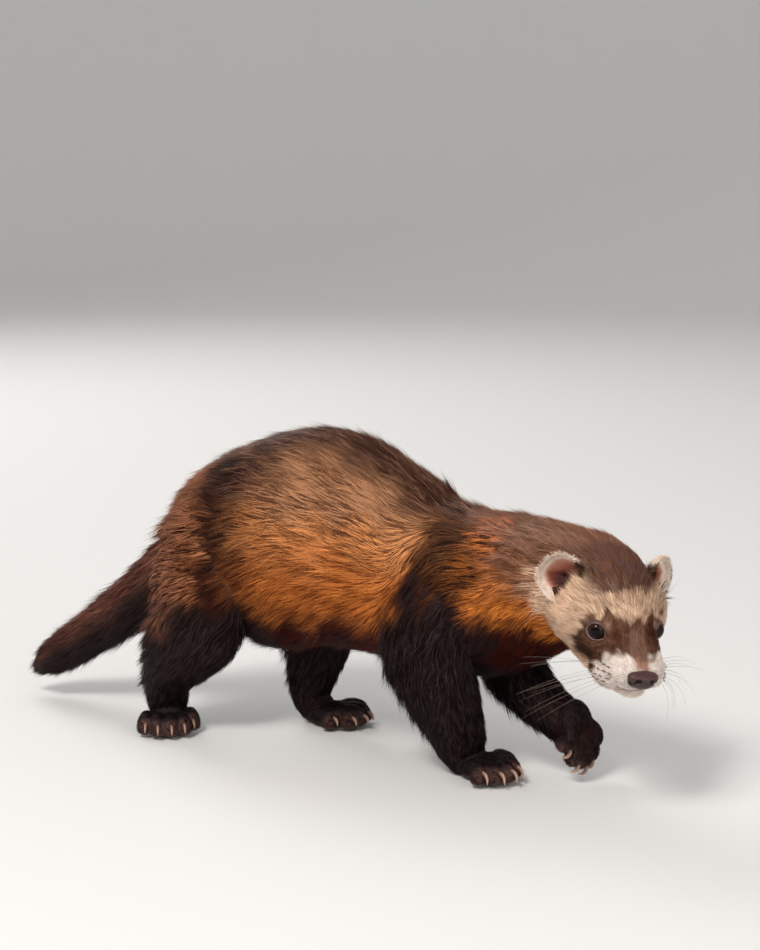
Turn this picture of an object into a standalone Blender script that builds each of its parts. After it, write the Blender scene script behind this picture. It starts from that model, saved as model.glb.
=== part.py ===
"""A ferret in a walking pose, as a still, life-size museum model.

The body is modelled whole, from lofts that are fused and smoothed, and is then parted into named
pieces by thin cuts. Metres, +Z up. The animal walks towards +X with its head turned to its right.
"""

import math

import bmesh
import bpy
import numpy as np
from mathutils import Matrix, Vector
from mathutils.bvhtree import BVHTree

# Driving dimensions
ORIGIN = Vector((0.07413, 0.00802, 0.0))  # middle of the bounding box on the floor, in the stance's own frame
GAP = 0.0003  # free space between two pieces that touch
BIG = 0.5  # side of the blocks that cut off a half space
MARGIN = 0.004  # how far a piece runs past its cuts while it is thinned out
VOXEL = 0.0012  # grid of the fused body
SMOOTHING = 5  # rounds that soften the fused body

# Head: a frame between the eyes, whose axes are forward, left and up
HEAD_PLACE = Vector((0.222, -0.025, 0.0725))
HEAD_YAW = math.radians(-44)
HEAD_PITCH = math.radians(16)
EYE_RADIUS = 0.0043
EYE_PLACE = (-0.0018, 0.0112, 0.0002)
EYE_TURN = math.radians(44)  # outward from straight ahead
ORBIT_RADIUS = 0.0068  # of the shallow hollow that the eye stands in
ORBIT_DEPTH = 0.0014  # from the eye's centre to the floor of that hollow
LID_REACH = 0.0022  # from the eye's centre to the ring of the lids
LID_SIZE = (0.0039, 0.0010)  # radius of the ring, and of its edge
NOSE_PLACE = (0.0194, 0.0, -0.0096)
NOSE_SIZE = (0.0037, 0.0055, 0.0038)
NOSTRIL_PLACE = (0.0227, 0.0024, -0.0100)
NOSTRIL_SIZE = (0.0024, 0.0011, 0.0009)
EAR_PLACE = (-0.0205, 0.0212, 0.0118)
EAR_SIZE = (0.0066, 0.0096, 0.0101)  # half depth, half width, half height
EAR_WALL = 0.0017
EAR_HOLLOW = 0.0032  # how far the cup's hollow stands forward of its back
EAR_LOOK = (0.74, 0.62, 0.16)  # the way that the cup opens
EAR_UP = (-0.25, 0.42, 0.86)
LIP_RADIUS = 0.0006  # of the groove along the mouth
LIP_LINE = ((0.0205, 0.0), (0.0185, 0.0050), (0.013, 0.0092), (0.006, 0.0110), (-0.001, 0.0125))
LIP_HEIGHTS = (-0.0150, -0.0158, -0.0160, -0.0150, -0.0132)

# Feet: each toe's reach ahead of the ankle and its place across the foot, from the outer one in
TOES = ((0.0180, -0.0104), (0.0225, -0.0056), (0.0236, 0.0000), (0.0212, 0.0055), (0.0145, 0.0098))
TOE_RADIUS = 0.0035
KNUCKLE_RADIUS = 0.0029
PALM_PLACE = (0.0055, 0.0, 0.0052)
PALM_SIZE = (0.0112, 0.0105, 0.0062)
CLAW_SIZES = (0.0012, 0.00105, 0.0008, 0.0003)

# Sections of each form: x, y, z, half width, half depth to the top or front, half depth to the other side
TRUNK = [
    (0.002, 0.021, 0.080, 0.021, 0.018, 0.020),
    (0.015, 0.0205, 0.085, 0.030, 0.029, 0.036),
    (0.036, 0.0203, 0.088, 0.0345, 0.0385, 0.051),
    (0.068, 0.0195, 0.089, 0.036, 0.0460, 0.050),
    (0.098, 0.0165, 0.082, 0.0335, 0.042, 0.0425),
    (0.124, 0.013, 0.0745, 0.031, 0.037, 0.037),
    (0.147, 0.0095, 0.0735, 0.029, 0.035, 0.035),
    (0.166, 0.0045, 0.0780, 0.0265, 0.031, 0.031),
    (0.184, -0.0015, 0.0820, 0.0245, 0.0255, 0.0265),
    (0.199, -0.0080, 0.0825, 0.0226, 0.0226, 0.0236),
    (0.210, -0.0150, 0.0810, 0.0195, 0.0195, 0.0205),
]
TAIL = [
    (0.004, 0.021, 0.078, 0.018, 0.018, 0.018),
    (-0.014, 0.021, 0.0618, 0.0150, 0.0158, 0.0145),
    (-0.034, 0.0213, 0.0462, 0.0128, 0.0136, 0.0124),
    (-0.055, 0.0217, 0.0322, 0.0112, 0.0120, 0.0112),
    (-0.074, 0.0222, 0.0200, 0.0088, 0.0088, 0.0088),
    (-0.086, 0.0226, 0.0122, 0.0055, 0.0055, 0.0055),
]
HIND_RIGHT = [
    (0.020, 0.004, 0.088, 0.016, 0.025, 0.022),
    (0.020, -0.003, 0.068, 0.0155, 0.024, 0.024),
    (0.017, -0.006, 0.051, 0.0135, 0.0250, 0.020),
    (0.009, -0.005, 0.036, 0.0115, 0.0185, 0.0172),
    (0.002, -0.002, 0.023, 0.0098, 0.0108, 0.0124),
    (-0.001, 0.000, 0.012, 0.0092, 0.0092, 0.0092),
    (0.001, -0.002, 0.007, 0.0080, 0.0080, 0.0075),
]
HIND_LEFT = [
    (0.026, 0.037, 0.088, 0.016, 0.025, 0.022),
    (0.033, 0.042, 0.068, 0.0155, 0.024, 0.025),
    (0.046, 0.0430, 0.050, 0.0130, 0.019, 0.021),
    (0.052, 0.0425, 0.037, 0.0115, 0.0150, 0.0200),
    (0.050, 0.0410, 0.025, 0.0102, 0.0120, 0.0140),
    (0.048, 0.0395, 0.013, 0.0090, 0.0095, 0.0090),
    (0.051, 0.0395, 0.007, 0.0085, 0.0085, 0.0080),
]
FORE_RIGHT = [
    (0.131, -0.004, 0.086, 0.012, 0.020, 0.020),
    (0.131, -0.010, 0.066, 0.0135, 0.022, 0.021),
    (0.133, -0.012, 0.049, 0.0130, 0.020, 0.020),
    (0.137, -0.0095, 0.034, 0.0115, 0.0172, 0.0170),
    (0.140, -0.0055, 0.022, 0.0105, 0.0140, 0.0135),
    (0.142, -0.0025, 0.012, 0.0100, 0.0115, 0.0110),
    (0.144, -0.0015, 0.007, 0.0085, 0.0090, 0.0090),
]
FORE_LEFT = [
    (0.136, 0.022, 0.076, 0.012, 0.018, 0.018),
    (0.143, 0.0225, 0.060, 0.0130, 0.017, 0.018),
    (0.151, 0.0215, 0.047, 0.0120, 0.0145, 0.0160),
    (0.161, 0.0185, 0.0365, 0.0108, 0.0120, 0.0130),
    (0.1715, 0.0150, 0.0290, 0.0098, 0.0102, 0.0112),
    (0.1815, 0.0125, 0.0235, 0.0090, 0.0090, 0.0098),
    (0.1880, 0.0112, 0.0175, 0.0084, 0.0078, 0.0088),
]
# Forms of the head, in the head's own frame, with the same sizes
SKULL = [
    (-0.040, 0.0, 0.0015, 0.0215, 0.0205, 0.0220),
    (-0.029, 0.0, 0.0010, 0.0235, 0.0208, 0.0225),
    (-0.018, 0.0, 0.0000, 0.0240, 0.0195, 0.0200),
    (-0.010, 0.0, -0.0012, 0.0215, 0.0168, 0.0175),
    (-0.004, 0.0, -0.0025, 0.0174, 0.0140, 0.0155),
    (0.001, 0.0, -0.0040, 0.0142, 0.0116, 0.0140),
    (0.006, 0.0, -0.0060, 0.0126, 0.0090, 0.0118),
    (0.011, 0.0, -0.0080, 0.0124, 0.0070, 0.0098),
    (0.015, 0.0, -0.0090, 0.0114, 0.0056, 0.0083),
    (0.0180, 0.0, -0.0095, 0.0088, 0.0044, 0.0064),
    (0.0195, 0.0, -0.0095, 0.0060, 0.0034, 0.0046),
]
JAW = [
    (-0.020, 0.0, -0.0130, 0.0155, 0.0080, 0.0088),
    (-0.008, 0.0, -0.0146, 0.0138, 0.0060, 0.0074),
    (0.003, 0.0, -0.0160, 0.0106, 0.0045, 0.0056),
    (0.010, 0.0, -0.0172, 0.0078, 0.0034, 0.0042),
    (0.0140, 0.0, -0.0172, 0.0052, 0.0026, 0.0032),
]
LIP_PAD = ((0.0060, 0.0082, -0.0130), (0.0105, 0.0062, 0.0062))  # place and size of the pad on each side
# Each leg: where its foot stands, the foot's yaw and pitch, the circles (x, z, radius) whose hull takes the leg
# off the trunk, the inner face's y at the floor and at 0.1 m, and the cuts at knee and ankle (point, way down)
LEGS = {
    "hind_right": {
        "sections": HIND_RIGHT,
        "ahead": (1, 0, 0),
        "foot": (-0.0018, 0.0006, 0.0),
        "yaw": -52,
        "pitch": 0,
        "side": -1,
        "circles": ((0.018, 0.066, 0.027), (0.004, 0.025, 0.019), (0.003, 0.003, 0.024)),
        "inner": (0.016, -0.008),
        "knee": ((0.011, -0.006, 0.040), (-0.45, 0.1, -0.9)),
        "ankle": ((-0.001, 0.0, 0.0135), (0.0, 0.0, -1.0)),
    },
    "hind_left": {
        "sections": HIND_LEFT,
        "ahead": (1, 0, 0),
        "foot": (0.0535, 0.0385, 0.0),
        "yaw": -4,
        "pitch": 0,
        "side": 1,
        "circles": ((0.028, 0.066, 0.027), (0.050, 0.030, 0.020), (0.064, 0.003, 0.028)),
        "inner": (0.0225, 0.0415),
        "knee": ((0.050, 0.043, 0.042), (0.1, 0.0, -1.0)),
        "ankle": ((0.048, 0.0395, 0.0135), (0.0, 0.0, -1.0)),
    },
    "fore_right": {
        "sections": FORE_RIGHT,
        "ahead": (1, 0, 0),
        "foot": (0.1472, -0.0024, 0.0),
        "yaw": -20,
        "pitch": 0,
        "side": -1,
        "circles": ((0.133, 0.064, 0.0235), (0.138, 0.030, 0.022), (0.152, 0.003, 0.026)),
        "inner": (0.013, -0.011),
        "knee": ((0.135, -0.010, 0.044), (0.25, 0.1, -1.0)),
        "ankle": ((0.1425, -0.0025, 0.0135), (0.0, 0.0, -1.0)),
    },
    "fore_left": {
        "sections": FORE_LEFT,
        "ahead": (0.7, 0, 0.7),
        "foot": (0.1806, 0.0112, 0.0272),
        "yaw": -6,
        "pitch": 78,
        "side": 1,
        "circles": ((0.143, 0.062, 0.0200), (0.164, 0.038, 0.017), (0.192, 0.011, 0.020)),
        "inner": (-0.012, 0.032),
        "knee": ((0.1525, 0.021, 0.0455), (0.8, -0.2, -0.6)),
        "ankle": ((0.1845, 0.0118, 0.0215), (0.55, -0.1, -0.83)),
    },
}
# Cuts across the trunk and the tail: the piece behind each cut, a point on it, and the way to the next piece
TRUNK_CUTS = (
    ("rump", (0.050, 0.020, 0.088), (1.0, 0.0, 0.10)),
    ("loin", (0.103, 0.016, 0.080), (0.96, -0.1, -0.15)),
    ("chest", (0.163, 0.006, 0.077), (0.95, -0.28, 0.05)),
    ("neck", (0.197, -0.0060, 0.082), (0.73, -0.66, -0.16)),
)
TAIL_CUTS = (
    ("tail_base", (-0.0185, 0.021, 0.058), (-0.80, 0.0, -0.60)),
    ("tail_mid", (-0.0440, 0.0215, 0.0395), (-0.83, 0.0, -0.56)),
    ("tail_tip", (-0.0660, 0.022, 0.0250), (-0.84, 0.0, -0.54)),
)
TRIANGLES = {
    "head": 2700,
    "neck": 600,
    "chest": 650,
    "loin": 500,
    "rump": 650,
    "tail": 150,
    "upper": 380,
    "lower": 300,
    "paw": 520,
    "ear": 320,
}

COLOURS = {
    "dark_coat": (0.035, 0.022, 0.018, 1.0),
    "flank_coat": (0.36, 0.22, 0.12, 1.0),
    "face_coat": (0.50, 0.36, 0.25, 1.0),
    "ear_coat": (0.78, 0.64, 0.50, 1.0),
    "nose_skin": (0.13, 0.055, 0.055, 1.0),
    "eye_wet": (0.010, 0.007, 0.008, 1.0),
    "claw_horn": (0.55, 0.36, 0.28, 1.0),
}
ROUGHNESS = {"nose_skin": 0.35, "eye_wet": 0.05, "claw_horn": 0.4}


def clear_scene():
    """Removes what the startup file left."""
    for obj in list(bpy.data.objects):
        bpy.data.objects.remove(obj)


def material(name):
    """One finish, made once and shared."""
    found = bpy.data.materials.get(name)
    if found:
        return found
    made = bpy.data.materials.new(name)
    made.use_nodes = True
    shader = made.node_tree.nodes["Principled BSDF"]
    shader.inputs["Base Color"].default_value = COLOURS[name]
    shader.inputs["Roughness"].default_value = ROUGHNESS.get(name, 0.8)
    return made


def mesh_object(name, points, faces):
    """A mesh object from arrays, with its faces turned outwards."""
    mesh = bpy.data.meshes.new(name)
    mesh.from_pydata([tuple(p) for p in points], [], [tuple(int(i) for i in f) for f in faces])
    shape = bmesh.new()
    shape.from_mesh(mesh)
    bmesh.ops.recalc_face_normals(shape, faces=shape.faces)
    shape.to_mesh(mesh)
    shape.free()
    obj = bpy.data.objects.new(name, mesh)
    bpy.context.scene.collection.objects.link(obj)
    return obj


def smooth_curve(values, count):
    """Values along a smooth curve through the given rows, spread evenly by distance."""
    values = np.asarray(values, float)
    ends = np.vstack([2 * values[0] - values[1], values, 2 * values[-1] - values[-2]])
    steps = np.linspace(0, len(values) - 1, 12 * len(values))
    first = np.minimum(steps.astype(int), len(values) - 2)
    t = (steps - first)[:, None]
    a, b, c, d = (ends[first + k] for k in range(4))
    curve = 0.5 * (2 * b + (c - a) * t + (2 * a - 5 * b + 4 * c - d) * t**2 + (3 * b - a - 3 * c + d) * t**3)
    along = np.r_[0, np.cumsum(np.linalg.norm(np.diff(curve[:, :3], axis=0), axis=1))]
    even = np.linspace(0, along[-1], count)
    return np.stack([np.interp(even, along, column) for column in curve.T], axis=1)


def loft(name, sections, up=(0, 0, 1), rings=22, sides=24, caps=(0.45, 0.9, 1.3), grow=0.0):
    """A closed form through oval sections square to its path, with a round cap at each end."""
    path = smooth_curve(sections, rings)
    centre, sizes = path[:, :3], path[:, 3:] + grow
    tangent = np.gradient(centre, axis=0)
    tangent /= np.linalg.norm(tangent, axis=1)[:, None]
    ends = []
    for place, way in ((0, -1), (-1, 1)):
        cap = []
        for angle in caps:
            reach = sizes[place].mean() * math.sin(angle) * 0.8
            cap.append((centre[place] + way * reach * tangent[place], sizes[place] * math.cos(angle)))
        ends.append(cap)
    centre = np.vstack([[c for c, _ in reversed(ends[0])], centre, [c for c, _ in ends[1]]])
    sizes = np.vstack([[s for _, s in reversed(ends[0])], sizes, [s for _, s in ends[1]]])
    count = len(caps)
    tangent = np.vstack([np.repeat(tangent[:1], count, 0), tangent, np.repeat(tangent[-1:], count, 0)])
    depth = np.asarray(up, float) - (tangent @ np.asarray(up, float))[:, None] * tangent
    depth /= np.linalg.norm(depth, axis=1)[:, None]
    across = np.cross(depth, tangent)
    angle = np.linspace(0, 2 * math.pi, sides, endpoint=False)
    side, lift = np.cos(angle)[None, :, None], np.sin(angle)[None, :, None]
    tall = np.where(lift > 0, sizes[:, 1][:, None, None], sizes[:, 2][:, None, None])
    points = (
        centre[:, None]
        + side * sizes[:, 0][:, None, None] * across[:, None]
        + lift * tall * depth[:, None]
    )
    count = len(centre)
    points = points.reshape(-1, 3)
    faces = []
    for ring in range(count - 1):
        for k in range(sides):
            n = (k + 1) % sides
            faces.append((ring * sides + k, ring * sides + n, (ring + 1) * sides + n, (ring + 1) * sides + k))
    faces.append(tuple(range(sides)))
    faces.append(tuple((count - 1) * sides + k for k in range(sides)))
    return mesh_object(name, points, faces)


def ellipsoid(name, place, size, turn=None, segments=20):
    """An oval ball."""
    shape = bmesh.new()
    bmesh.ops.create_uvsphere(shape, u_segments=segments, v_segments=segments * 3 // 5, radius=1.0)
    mesh = bpy.data.meshes.new(name)
    shape.to_mesh(mesh)
    shape.free()
    turn = turn.to_4x4() if turn else Matrix.Identity(4)
    mesh.transform(Matrix.Translation(place) @ turn @ Matrix.Diagonal((*size, 1.0)))
    obj = bpy.data.objects.new(name, mesh)
    bpy.context.scene.collection.objects.link(obj)
    return obj


def half_space(name, point, normal):
    """A large block that fills the side of a plane that its normal points to."""
    shape = bmesh.new()
    bmesh.ops.create_cube(shape, size=BIG)
    mesh = bpy.data.meshes.new(name)
    shape.to_mesh(mesh)
    shape.free()
    normal = Vector(normal).normalized()
    turn = normal.to_track_quat("Z", "Y").to_matrix().to_4x4()
    mesh.transform(Matrix.Translation(Vector(point) + normal * BIG / 2) @ turn)
    obj = bpy.data.objects.new(name, mesh)
    bpy.context.scene.collection.objects.link(obj)
    return obj


def apply_modifiers(obj):
    """Makes the evaluated shape the object's own mesh."""
    bpy.context.view_layer.update()
    graph = bpy.context.evaluated_depsgraph_get()
    mesh = bpy.data.meshes.new_from_object(obj.evaluated_get(graph))
    obj.modifiers.clear()
    old = obj.data
    obj.data = mesh
    bpy.data.meshes.remove(old)
    return obj


def largest_body(obj):
    """Keeps only the largest closed surface of a mesh."""
    shape = bmesh.new()
    shape.from_mesh(obj.data)
    shape.verts.ensure_lookup_table()
    seen, bodies = set(), []
    for start in shape.verts:
        if start.index in seen:
            continue
        seen.add(start.index)
        group, edge = [], [start]
        while edge:
            vert = edge.pop()
            group.append(vert)
            for link in vert.link_edges:
                other = link.other_vert(vert)
                if other.index not in seen:
                    seen.add(other.index)
                    edge.append(other)
        low = Vector(map(min, zip(*(v.co for v in group), strict=True)))
        high = Vector(map(max, zip(*(v.co for v in group), strict=True)))
        bodies.append(((high - low).length, group))
    bodies.sort(key=lambda body: body[0])
    for _, group in bodies[:-1]:
        bmesh.ops.delete(shape, geom=group, context="VERTS")
    shape.to_mesh(obj.data)
    shape.free()
    return obj


def boolean(obj, other, operation):
    """Joins, cuts or crosses two meshes, uses up the second, and keeps one closed surface."""
    whole = obj.data
    for solver in ("MANIFOLD", "EXACT") if is_closed(obj) and is_closed(other) else ("EXACT",):
        obj.data = whole.copy()
        cut = obj.modifiers.new(operation, "BOOLEAN")
        cut.operation = operation
        cut.object = other
        cut.solver = solver
        largest_body(apply_modifiers(obj))
        if is_closed(obj):
            break
    bpy.data.meshes.remove(whole)
    bpy.data.objects.remove(other)
    return obj


def fuse(name, forms):
    """One closed mesh from closed forms that overlap, by one union on a collection."""
    group = bpy.data.collections.new(name + "_forms")
    bpy.context.scene.collection.children.link(group)
    for form in forms[1:]:
        group.objects.link(form)
    base = forms[0]
    base.name = name
    join = base.modifiers.new("join", "BOOLEAN")
    join.operation = "UNION"
    join.operand_type = "COLLECTION"
    join.collection = group
    join.solver = "MANIFOLD"
    apply_modifiers(base)
    for form in forms[1:]:
        bpy.data.objects.remove(form)
    bpy.data.collections.remove(group)
    return largest_body(base)


def even_out(obj, voxel, smoothing):
    """An even surface over the fused forms, with its creases filled."""
    remesh = obj.modifiers.new("remesh", "REMESH")
    remesh.mode = "VOXEL"
    remesh.voxel_size = voxel
    soft = obj.modifiers.new("soft", "SMOOTH")
    soft.factor = 0.5
    soft.iterations = smoothing
    return largest_body(apply_modifiers(obj))


def is_closed(obj):
    """Whether each edge of a mesh lies between exactly two faces."""
    shape = bmesh.new()
    shape.from_mesh(obj.data)
    closed = all(edge.is_manifold for edge in shape.edges) and all(vert.is_manifold for vert in shape.verts)
    shape.free()
    return closed


def thin_out(obj, triangles):
    """Fewer triangles, where the surface is flattest, and a few more again where that would open the mesh."""
    count = sum(len(face.vertices) - 2 for face in obj.data.polygons)
    full = obj.data.copy()
    for more in (1.0, 0.98, 1.02, 0.96, 1.04, 0.94, 1.06, 0.92, 1.08, 1.12, 1.16, 1.2):
        if count <= triangles * more:
            break
        obj.data = full.copy()
        fewer = obj.modifiers.new("fewer", "DECIMATE")
        fewer.ratio = triangles * more / count
        apply_modifiers(obj)
        if is_closed(obj):
            break
    return obj


def copy_of(obj, name):
    """A second object with its own mesh."""
    twin = bpy.data.objects.new(name, obj.data.copy())
    bpy.context.scene.collection.objects.link(twin)
    return twin


def piece(source, name, cutters, triangles, finish):
    """A piece of the whole inside some cutters, each a function of how far to grow it.

    It is cut with some margin, thinned out, and then cut to its true faces.
    """
    part = copy_of(source, name)
    if triangles:
        for cutter in cutters:
            boolean(part, cutter(MARGIN), "INTERSECT")
        thin_out(part, triangles)
    for cutter in cutters:
        boolean(part, cutter(-GAP / 2), "INTERSECT")
    return dress(part, finish)


def dress(part, finish):
    """Gives a piece its material and smooth shading, and puts it in the animal's collection."""
    part.data.materials.clear()
    part.data.materials.append(material(finish))
    part.data.shade_smooth()
    part.data.set_sharp_from_angle(angle=math.radians(40))
    bpy.context.scene.collection.objects.unlink(part)
    bpy.data.collections["ferret"].objects.link(part)
    return part


def beyond(point, way):
    """A cutter for what lies past a plane."""
    way = Vector(way).normalized()
    return lambda grow: half_space("side", Vector(point) - way * grow, way)


def before(point, way):
    """A cutter for what lies before a plane."""
    return beyond(point, -Vector(way))


def hull(name, points):
    """The smallest convex form around some points."""
    shape = bmesh.new()
    for point in points:
        shape.verts.new(point)
    made = bmesh.ops.convex_hull(shape, input=shape.verts)
    loose = [v for v in made["geom_interior"] if isinstance(v, bmesh.types.BMVert)]
    bmesh.ops.delete(shape, geom=loose, context="VERTS")
    bmesh.ops.recalc_face_normals(shape, faces=shape.faces)
    mesh = bpy.data.meshes.new(name)
    shape.to_mesh(mesh)
    shape.free()
    obj = bpy.data.objects.new(name, mesh)
    bpy.context.scene.collection.objects.link(obj)
    return obj


def leg_region(leg):
    """A cutter round one leg: the hull of its circles, from its sloping inner face outwards."""
    low, high = leg["inner"]

    def made(grow):
        points = []
        for x, z, radius in leg["circles"]:
            for step in range(20):
                angle = 2 * math.pi * step / 20
                across = x + (radius + grow) * math.cos(angle)
                up = z + (radius + grow) * math.sin(angle)
                inner = low + (high - low) * up / 0.1 - leg["side"] * grow
                points.append((across, inner, up))
                points.append((across, 0.15 * leg["side"], up))
        return hull("region", points)

    return made


def head_axes():
    """The head's forward, left and up directions."""
    level = math.cos(HEAD_PITCH)
    forward = Vector((math.cos(HEAD_YAW) * level, math.sin(HEAD_YAW) * level, -math.sin(HEAD_PITCH)))
    left = Vector((-math.sin(HEAD_YAW), math.cos(HEAD_YAW), 0.0))
    return forward, left, forward.cross(left)


HEAD_TURN = Matrix(head_axes()).transposed()


def on_head(place, side=1):
    """A point of the head's own frame, mirrored for side -1, in the stance's frame."""
    return HEAD_PLACE + HEAD_TURN @ Vector((place[0], side * place[1], place[2]))


def head_way(way, side=1):
    """A direction of the head's own frame in the stance's frame."""
    return (HEAD_TURN @ Vector((way[0], side * way[1], way[2]))).normalized()


EYE_LOOK = (math.cos(EYE_TURN), math.sin(EYE_TURN), 0.05)


def head_loft(name, sections, **options):
    """A loft whose sections are written in the head's frame."""
    placed = [(*on_head(row[:3]), *row[3:]) for row in sections]
    return loft(name, placed, up=HEAD_TURN.col[2], **options)


def foot_frame(leg):
    """Turns a point of a foot's own frame (ahead, across to the inner side, up) into the stance's frame."""
    turn = Matrix.Rotation(math.radians(leg["yaw"]), 3, "Z") @ Matrix.Rotation(math.radians(leg["pitch"]), 3, "Y")

    def placed(point):
        return Vector(leg["foot"]) + turn @ Vector((point[0], -leg["side"] * point[1], point[2]))

    return placed, turn


def foot_forms(name, leg):
    """The palm and the five toes."""
    placed, turn = foot_frame(leg)
    forms = [ellipsoid(name + "_palm", placed(PALM_PLACE), PALM_SIZE, turn)]
    for number, (reach, across) in enumerate(TOES):
        path = (
            (0.004, 0.60 * across, 0.0062, KNUCKLE_RADIUS),
            (reach - 0.0090, 0.88 * across, 0.0086, KNUCKLE_RADIUS),
            (reach - 0.0040, across, 0.0066, TOE_RADIUS),
            (reach - 0.0036, 1.02 * across, 0.0019, TOE_RADIUS),
        )
        rows = [(*placed(row[:3]), row[3], row[3], row[3]) for row in path]
        forms.append(loft(f"{name}_toe_{number}", rows, up=turn.col[1], rings=8, sides=12))
    return forms


def claw(name, leg, toe, grow=0.0):
    """One curved claw, from inside the tip of its toe down to a point just over the floor."""
    placed, turn = foot_frame(leg)
    reach, across = toe
    path = (
        (reach - 0.0024, 1.00 * across, 0.0054),
        (reach + 0.0004, 1.03 * across, 0.0053),
        (reach + 0.0024, 1.06 * across, 0.0041),
        (reach + 0.0036, 1.07 * across, 0.0020),
    )
    rows = [(*placed(point), 0.75 * size, size, size) for point, size in zip(path, CLAW_SIZES, strict=True)]
    return loft(name, rows, up=turn.col[2], rings=4, sides=5, caps=(1.2,), grow=grow)


def body_forms():
    """The lofts of trunk, tail, legs, feet and head, which overlap at their roots."""
    forms = [
        loft("flesh", TRUNK, rings=34, sides=32),
        loft("tail_form", TAIL, rings=24),
        head_loft("skull_form", SKULL, sides=32),
        head_loft("jaw_form", JAW),
    ]
    for side in (-1, 1):
        forms.append(ellipsoid("lip_pad", on_head(LIP_PAD[0], side), LIP_PAD[1], HEAD_TURN))
    for name, leg in LEGS.items():
        forms.append(loft(name + "_form", leg["sections"], up=leg["ahead"]))
        forms += foot_forms(name, leg)
    return forms


def ear_form(name, side):
    """A rounded cup: an oval ball cut open at the front and hollowed out."""
    look = head_way(EAR_LOOK, side)
    up = head_way(EAR_UP, side)
    up = (up - up.dot(look) * look).normalized()
    turn = Matrix((look, up.cross(look), up)).transposed()
    centre = on_head(EAR_PLACE, side)
    depth, width, height = EAR_SIZE
    cup = ellipsoid(name, centre, EAR_SIZE, turn, segments=22)
    boolean(cup, half_space("front", centre + look * 0.001, -look), "INTERSECT")
    hollow = (depth - EAR_WALL + EAR_HOLLOW, width - EAR_WALL, height - EAR_WALL)
    return boolean(cup, ellipsoid("hollow", centre + look * EAR_HOLLOW, hollow, turn, segments=22), "DIFFERENCE")


def grown(obj, distance):
    """A copy of a smooth mesh, swollen evenly."""
    twin = copy_of(obj, obj.name + "_grown")
    swell = twin.modifiers.new("swell", "DISPLACE")
    swell.strength = distance
    swell.mid_level = 0.0
    return apply_modifiers(twin)


def ring(name, place, way, radius, thickness):
    """A closed ring round an axis."""
    bpy.ops.mesh.primitive_torus_add(
        major_radius=radius, minor_radius=thickness, major_segments=24, minor_segments=6
    )
    made = bpy.context.object
    made.name = name
    made.data.transform(Matrix.Translation(place) @ way.to_track_quat("Z", "Y").to_matrix().to_4x4())
    return made


def add_head_details(head, fine):
    """Ears, lids, eyes, nose and the line of the mouth."""
    surface = BVHTree.FromObject(fine, bpy.context.evaluated_depsgraph_get())
    skull = grown(head, GAP)
    for side, word in ((1, "left"), (-1, "right")):
        ear = boolean(ear_form("ear_" + word, side), copy_of(skull, "skull_room"), "DIFFERENCE")
        thin_out(ear, TRIANGLES["ear"])
        dress(ear, "ear_coat")
        centre = on_head(EYE_PLACE, side)
        way = head_way(EYE_LOOK, side)
        boolean(head, ring("lids", centre + way * LID_REACH, way, *LID_SIZE), "UNION")
        socket = [EYE_RADIUS + GAP] * 3
        boolean(head, ellipsoid("socket", centre, socket, HEAD_TURN, segments=14), "DIFFERENCE")
        eye = ellipsoid("eye_" + word, centre, [EYE_RADIUS] * 3, HEAD_TURN, segments=14)
        dress(eye, "eye_wet")
    bpy.data.objects.remove(skull)
    lips = []
    for side in (-1, 1):
        for (ahead, across), height in zip(LIP_LINE, LIP_HEIGHTS, strict=True):
            if side == 1 or across > 0:
                lips.append(on_head((ahead, across, height), side))
    count = len(LIP_LINE)
    lips = lips[count - 2 :: -1] + lips[count - 1 :]
    rows = []
    for point in lips:
        found = surface.find_nearest(point)[0]
        rows.append((*found, LIP_RADIUS, LIP_RADIUS, LIP_RADIUS))
    boolean(head, loft("lip_line", rows, up=HEAD_TURN.col[2], rings=22, sides=5), "DIFFERENCE")
    place = on_head(NOSE_PLACE)
    room = [size + GAP for size in NOSE_SIZE]
    boolean(head, ellipsoid("nose_room", place, room, HEAD_TURN, segments=14), "DIFFERENCE")
    nose = ellipsoid("nose", place, NOSE_SIZE, HEAD_TURN, segments=14)
    for side in (-1, 1):
        boolean(nose, ellipsoid("nostril", on_head(NOSTRIL_PLACE, side), NOSTRIL_SIZE, HEAD_TURN, 10), "DIFFERENCE")
    dress(nose, "nose_skin")


def build_trunk(flesh):
    """The trunk without its legs, parted into rump, loin, chest, neck and head, and the tail in three."""
    regions = [leg_region(leg) for leg in LEGS.values()]
    cuts = list(TRUNK_CUTS)
    tail_root = TAIL_CUTS[0]
    for place, (name, point, way) in enumerate(cuts):
        cutters = [before(point, way)]
        if place:
            cutters.append(beyond(*cuts[place - 1][1:]))
        else:
            cutters.append(before(*tail_root[1:]))
        part = copy_of(flesh, name)
        for cutter in cutters:
            boolean(part, cutter(MARGIN), "INTERSECT")
        thin_out(part, TRIANGLES[name])
        for region in regions:
            boolean(part, region(GAP / 2), "DIFFERENCE")
        for cutter in cutters:
            boolean(part, cutter(-GAP / 2), "INTERSECT")
        dress(part, "flank_coat")
    for place, (name, point, way) in enumerate(TAIL_CUTS):
        body = copy_of(flesh, "tail_whole")
        for region in regions:
            boolean(body, region(MARGIN), "DIFFERENCE")
        cutters = [beyond(point, way)]
        if place + 1 < len(TAIL_CUTS):
            cutters.append(before(*TAIL_CUTS[place + 1][1:]))
        piece(body, name, cutters, TRIANGLES["tail"], "dark_coat")
        bpy.data.objects.remove(body)
    head = copy_of(flesh, "head")
    past_neck = beyond(*cuts[-1][1:])
    boolean(head, past_neck(MARGIN), "INTERSECT")
    thin_out(head, TRIANGLES["head"])
    boolean(head, past_neck(-GAP / 2), "INTERSECT")
    add_head_details(head, flesh)
    dress(head, "face_coat")


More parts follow.
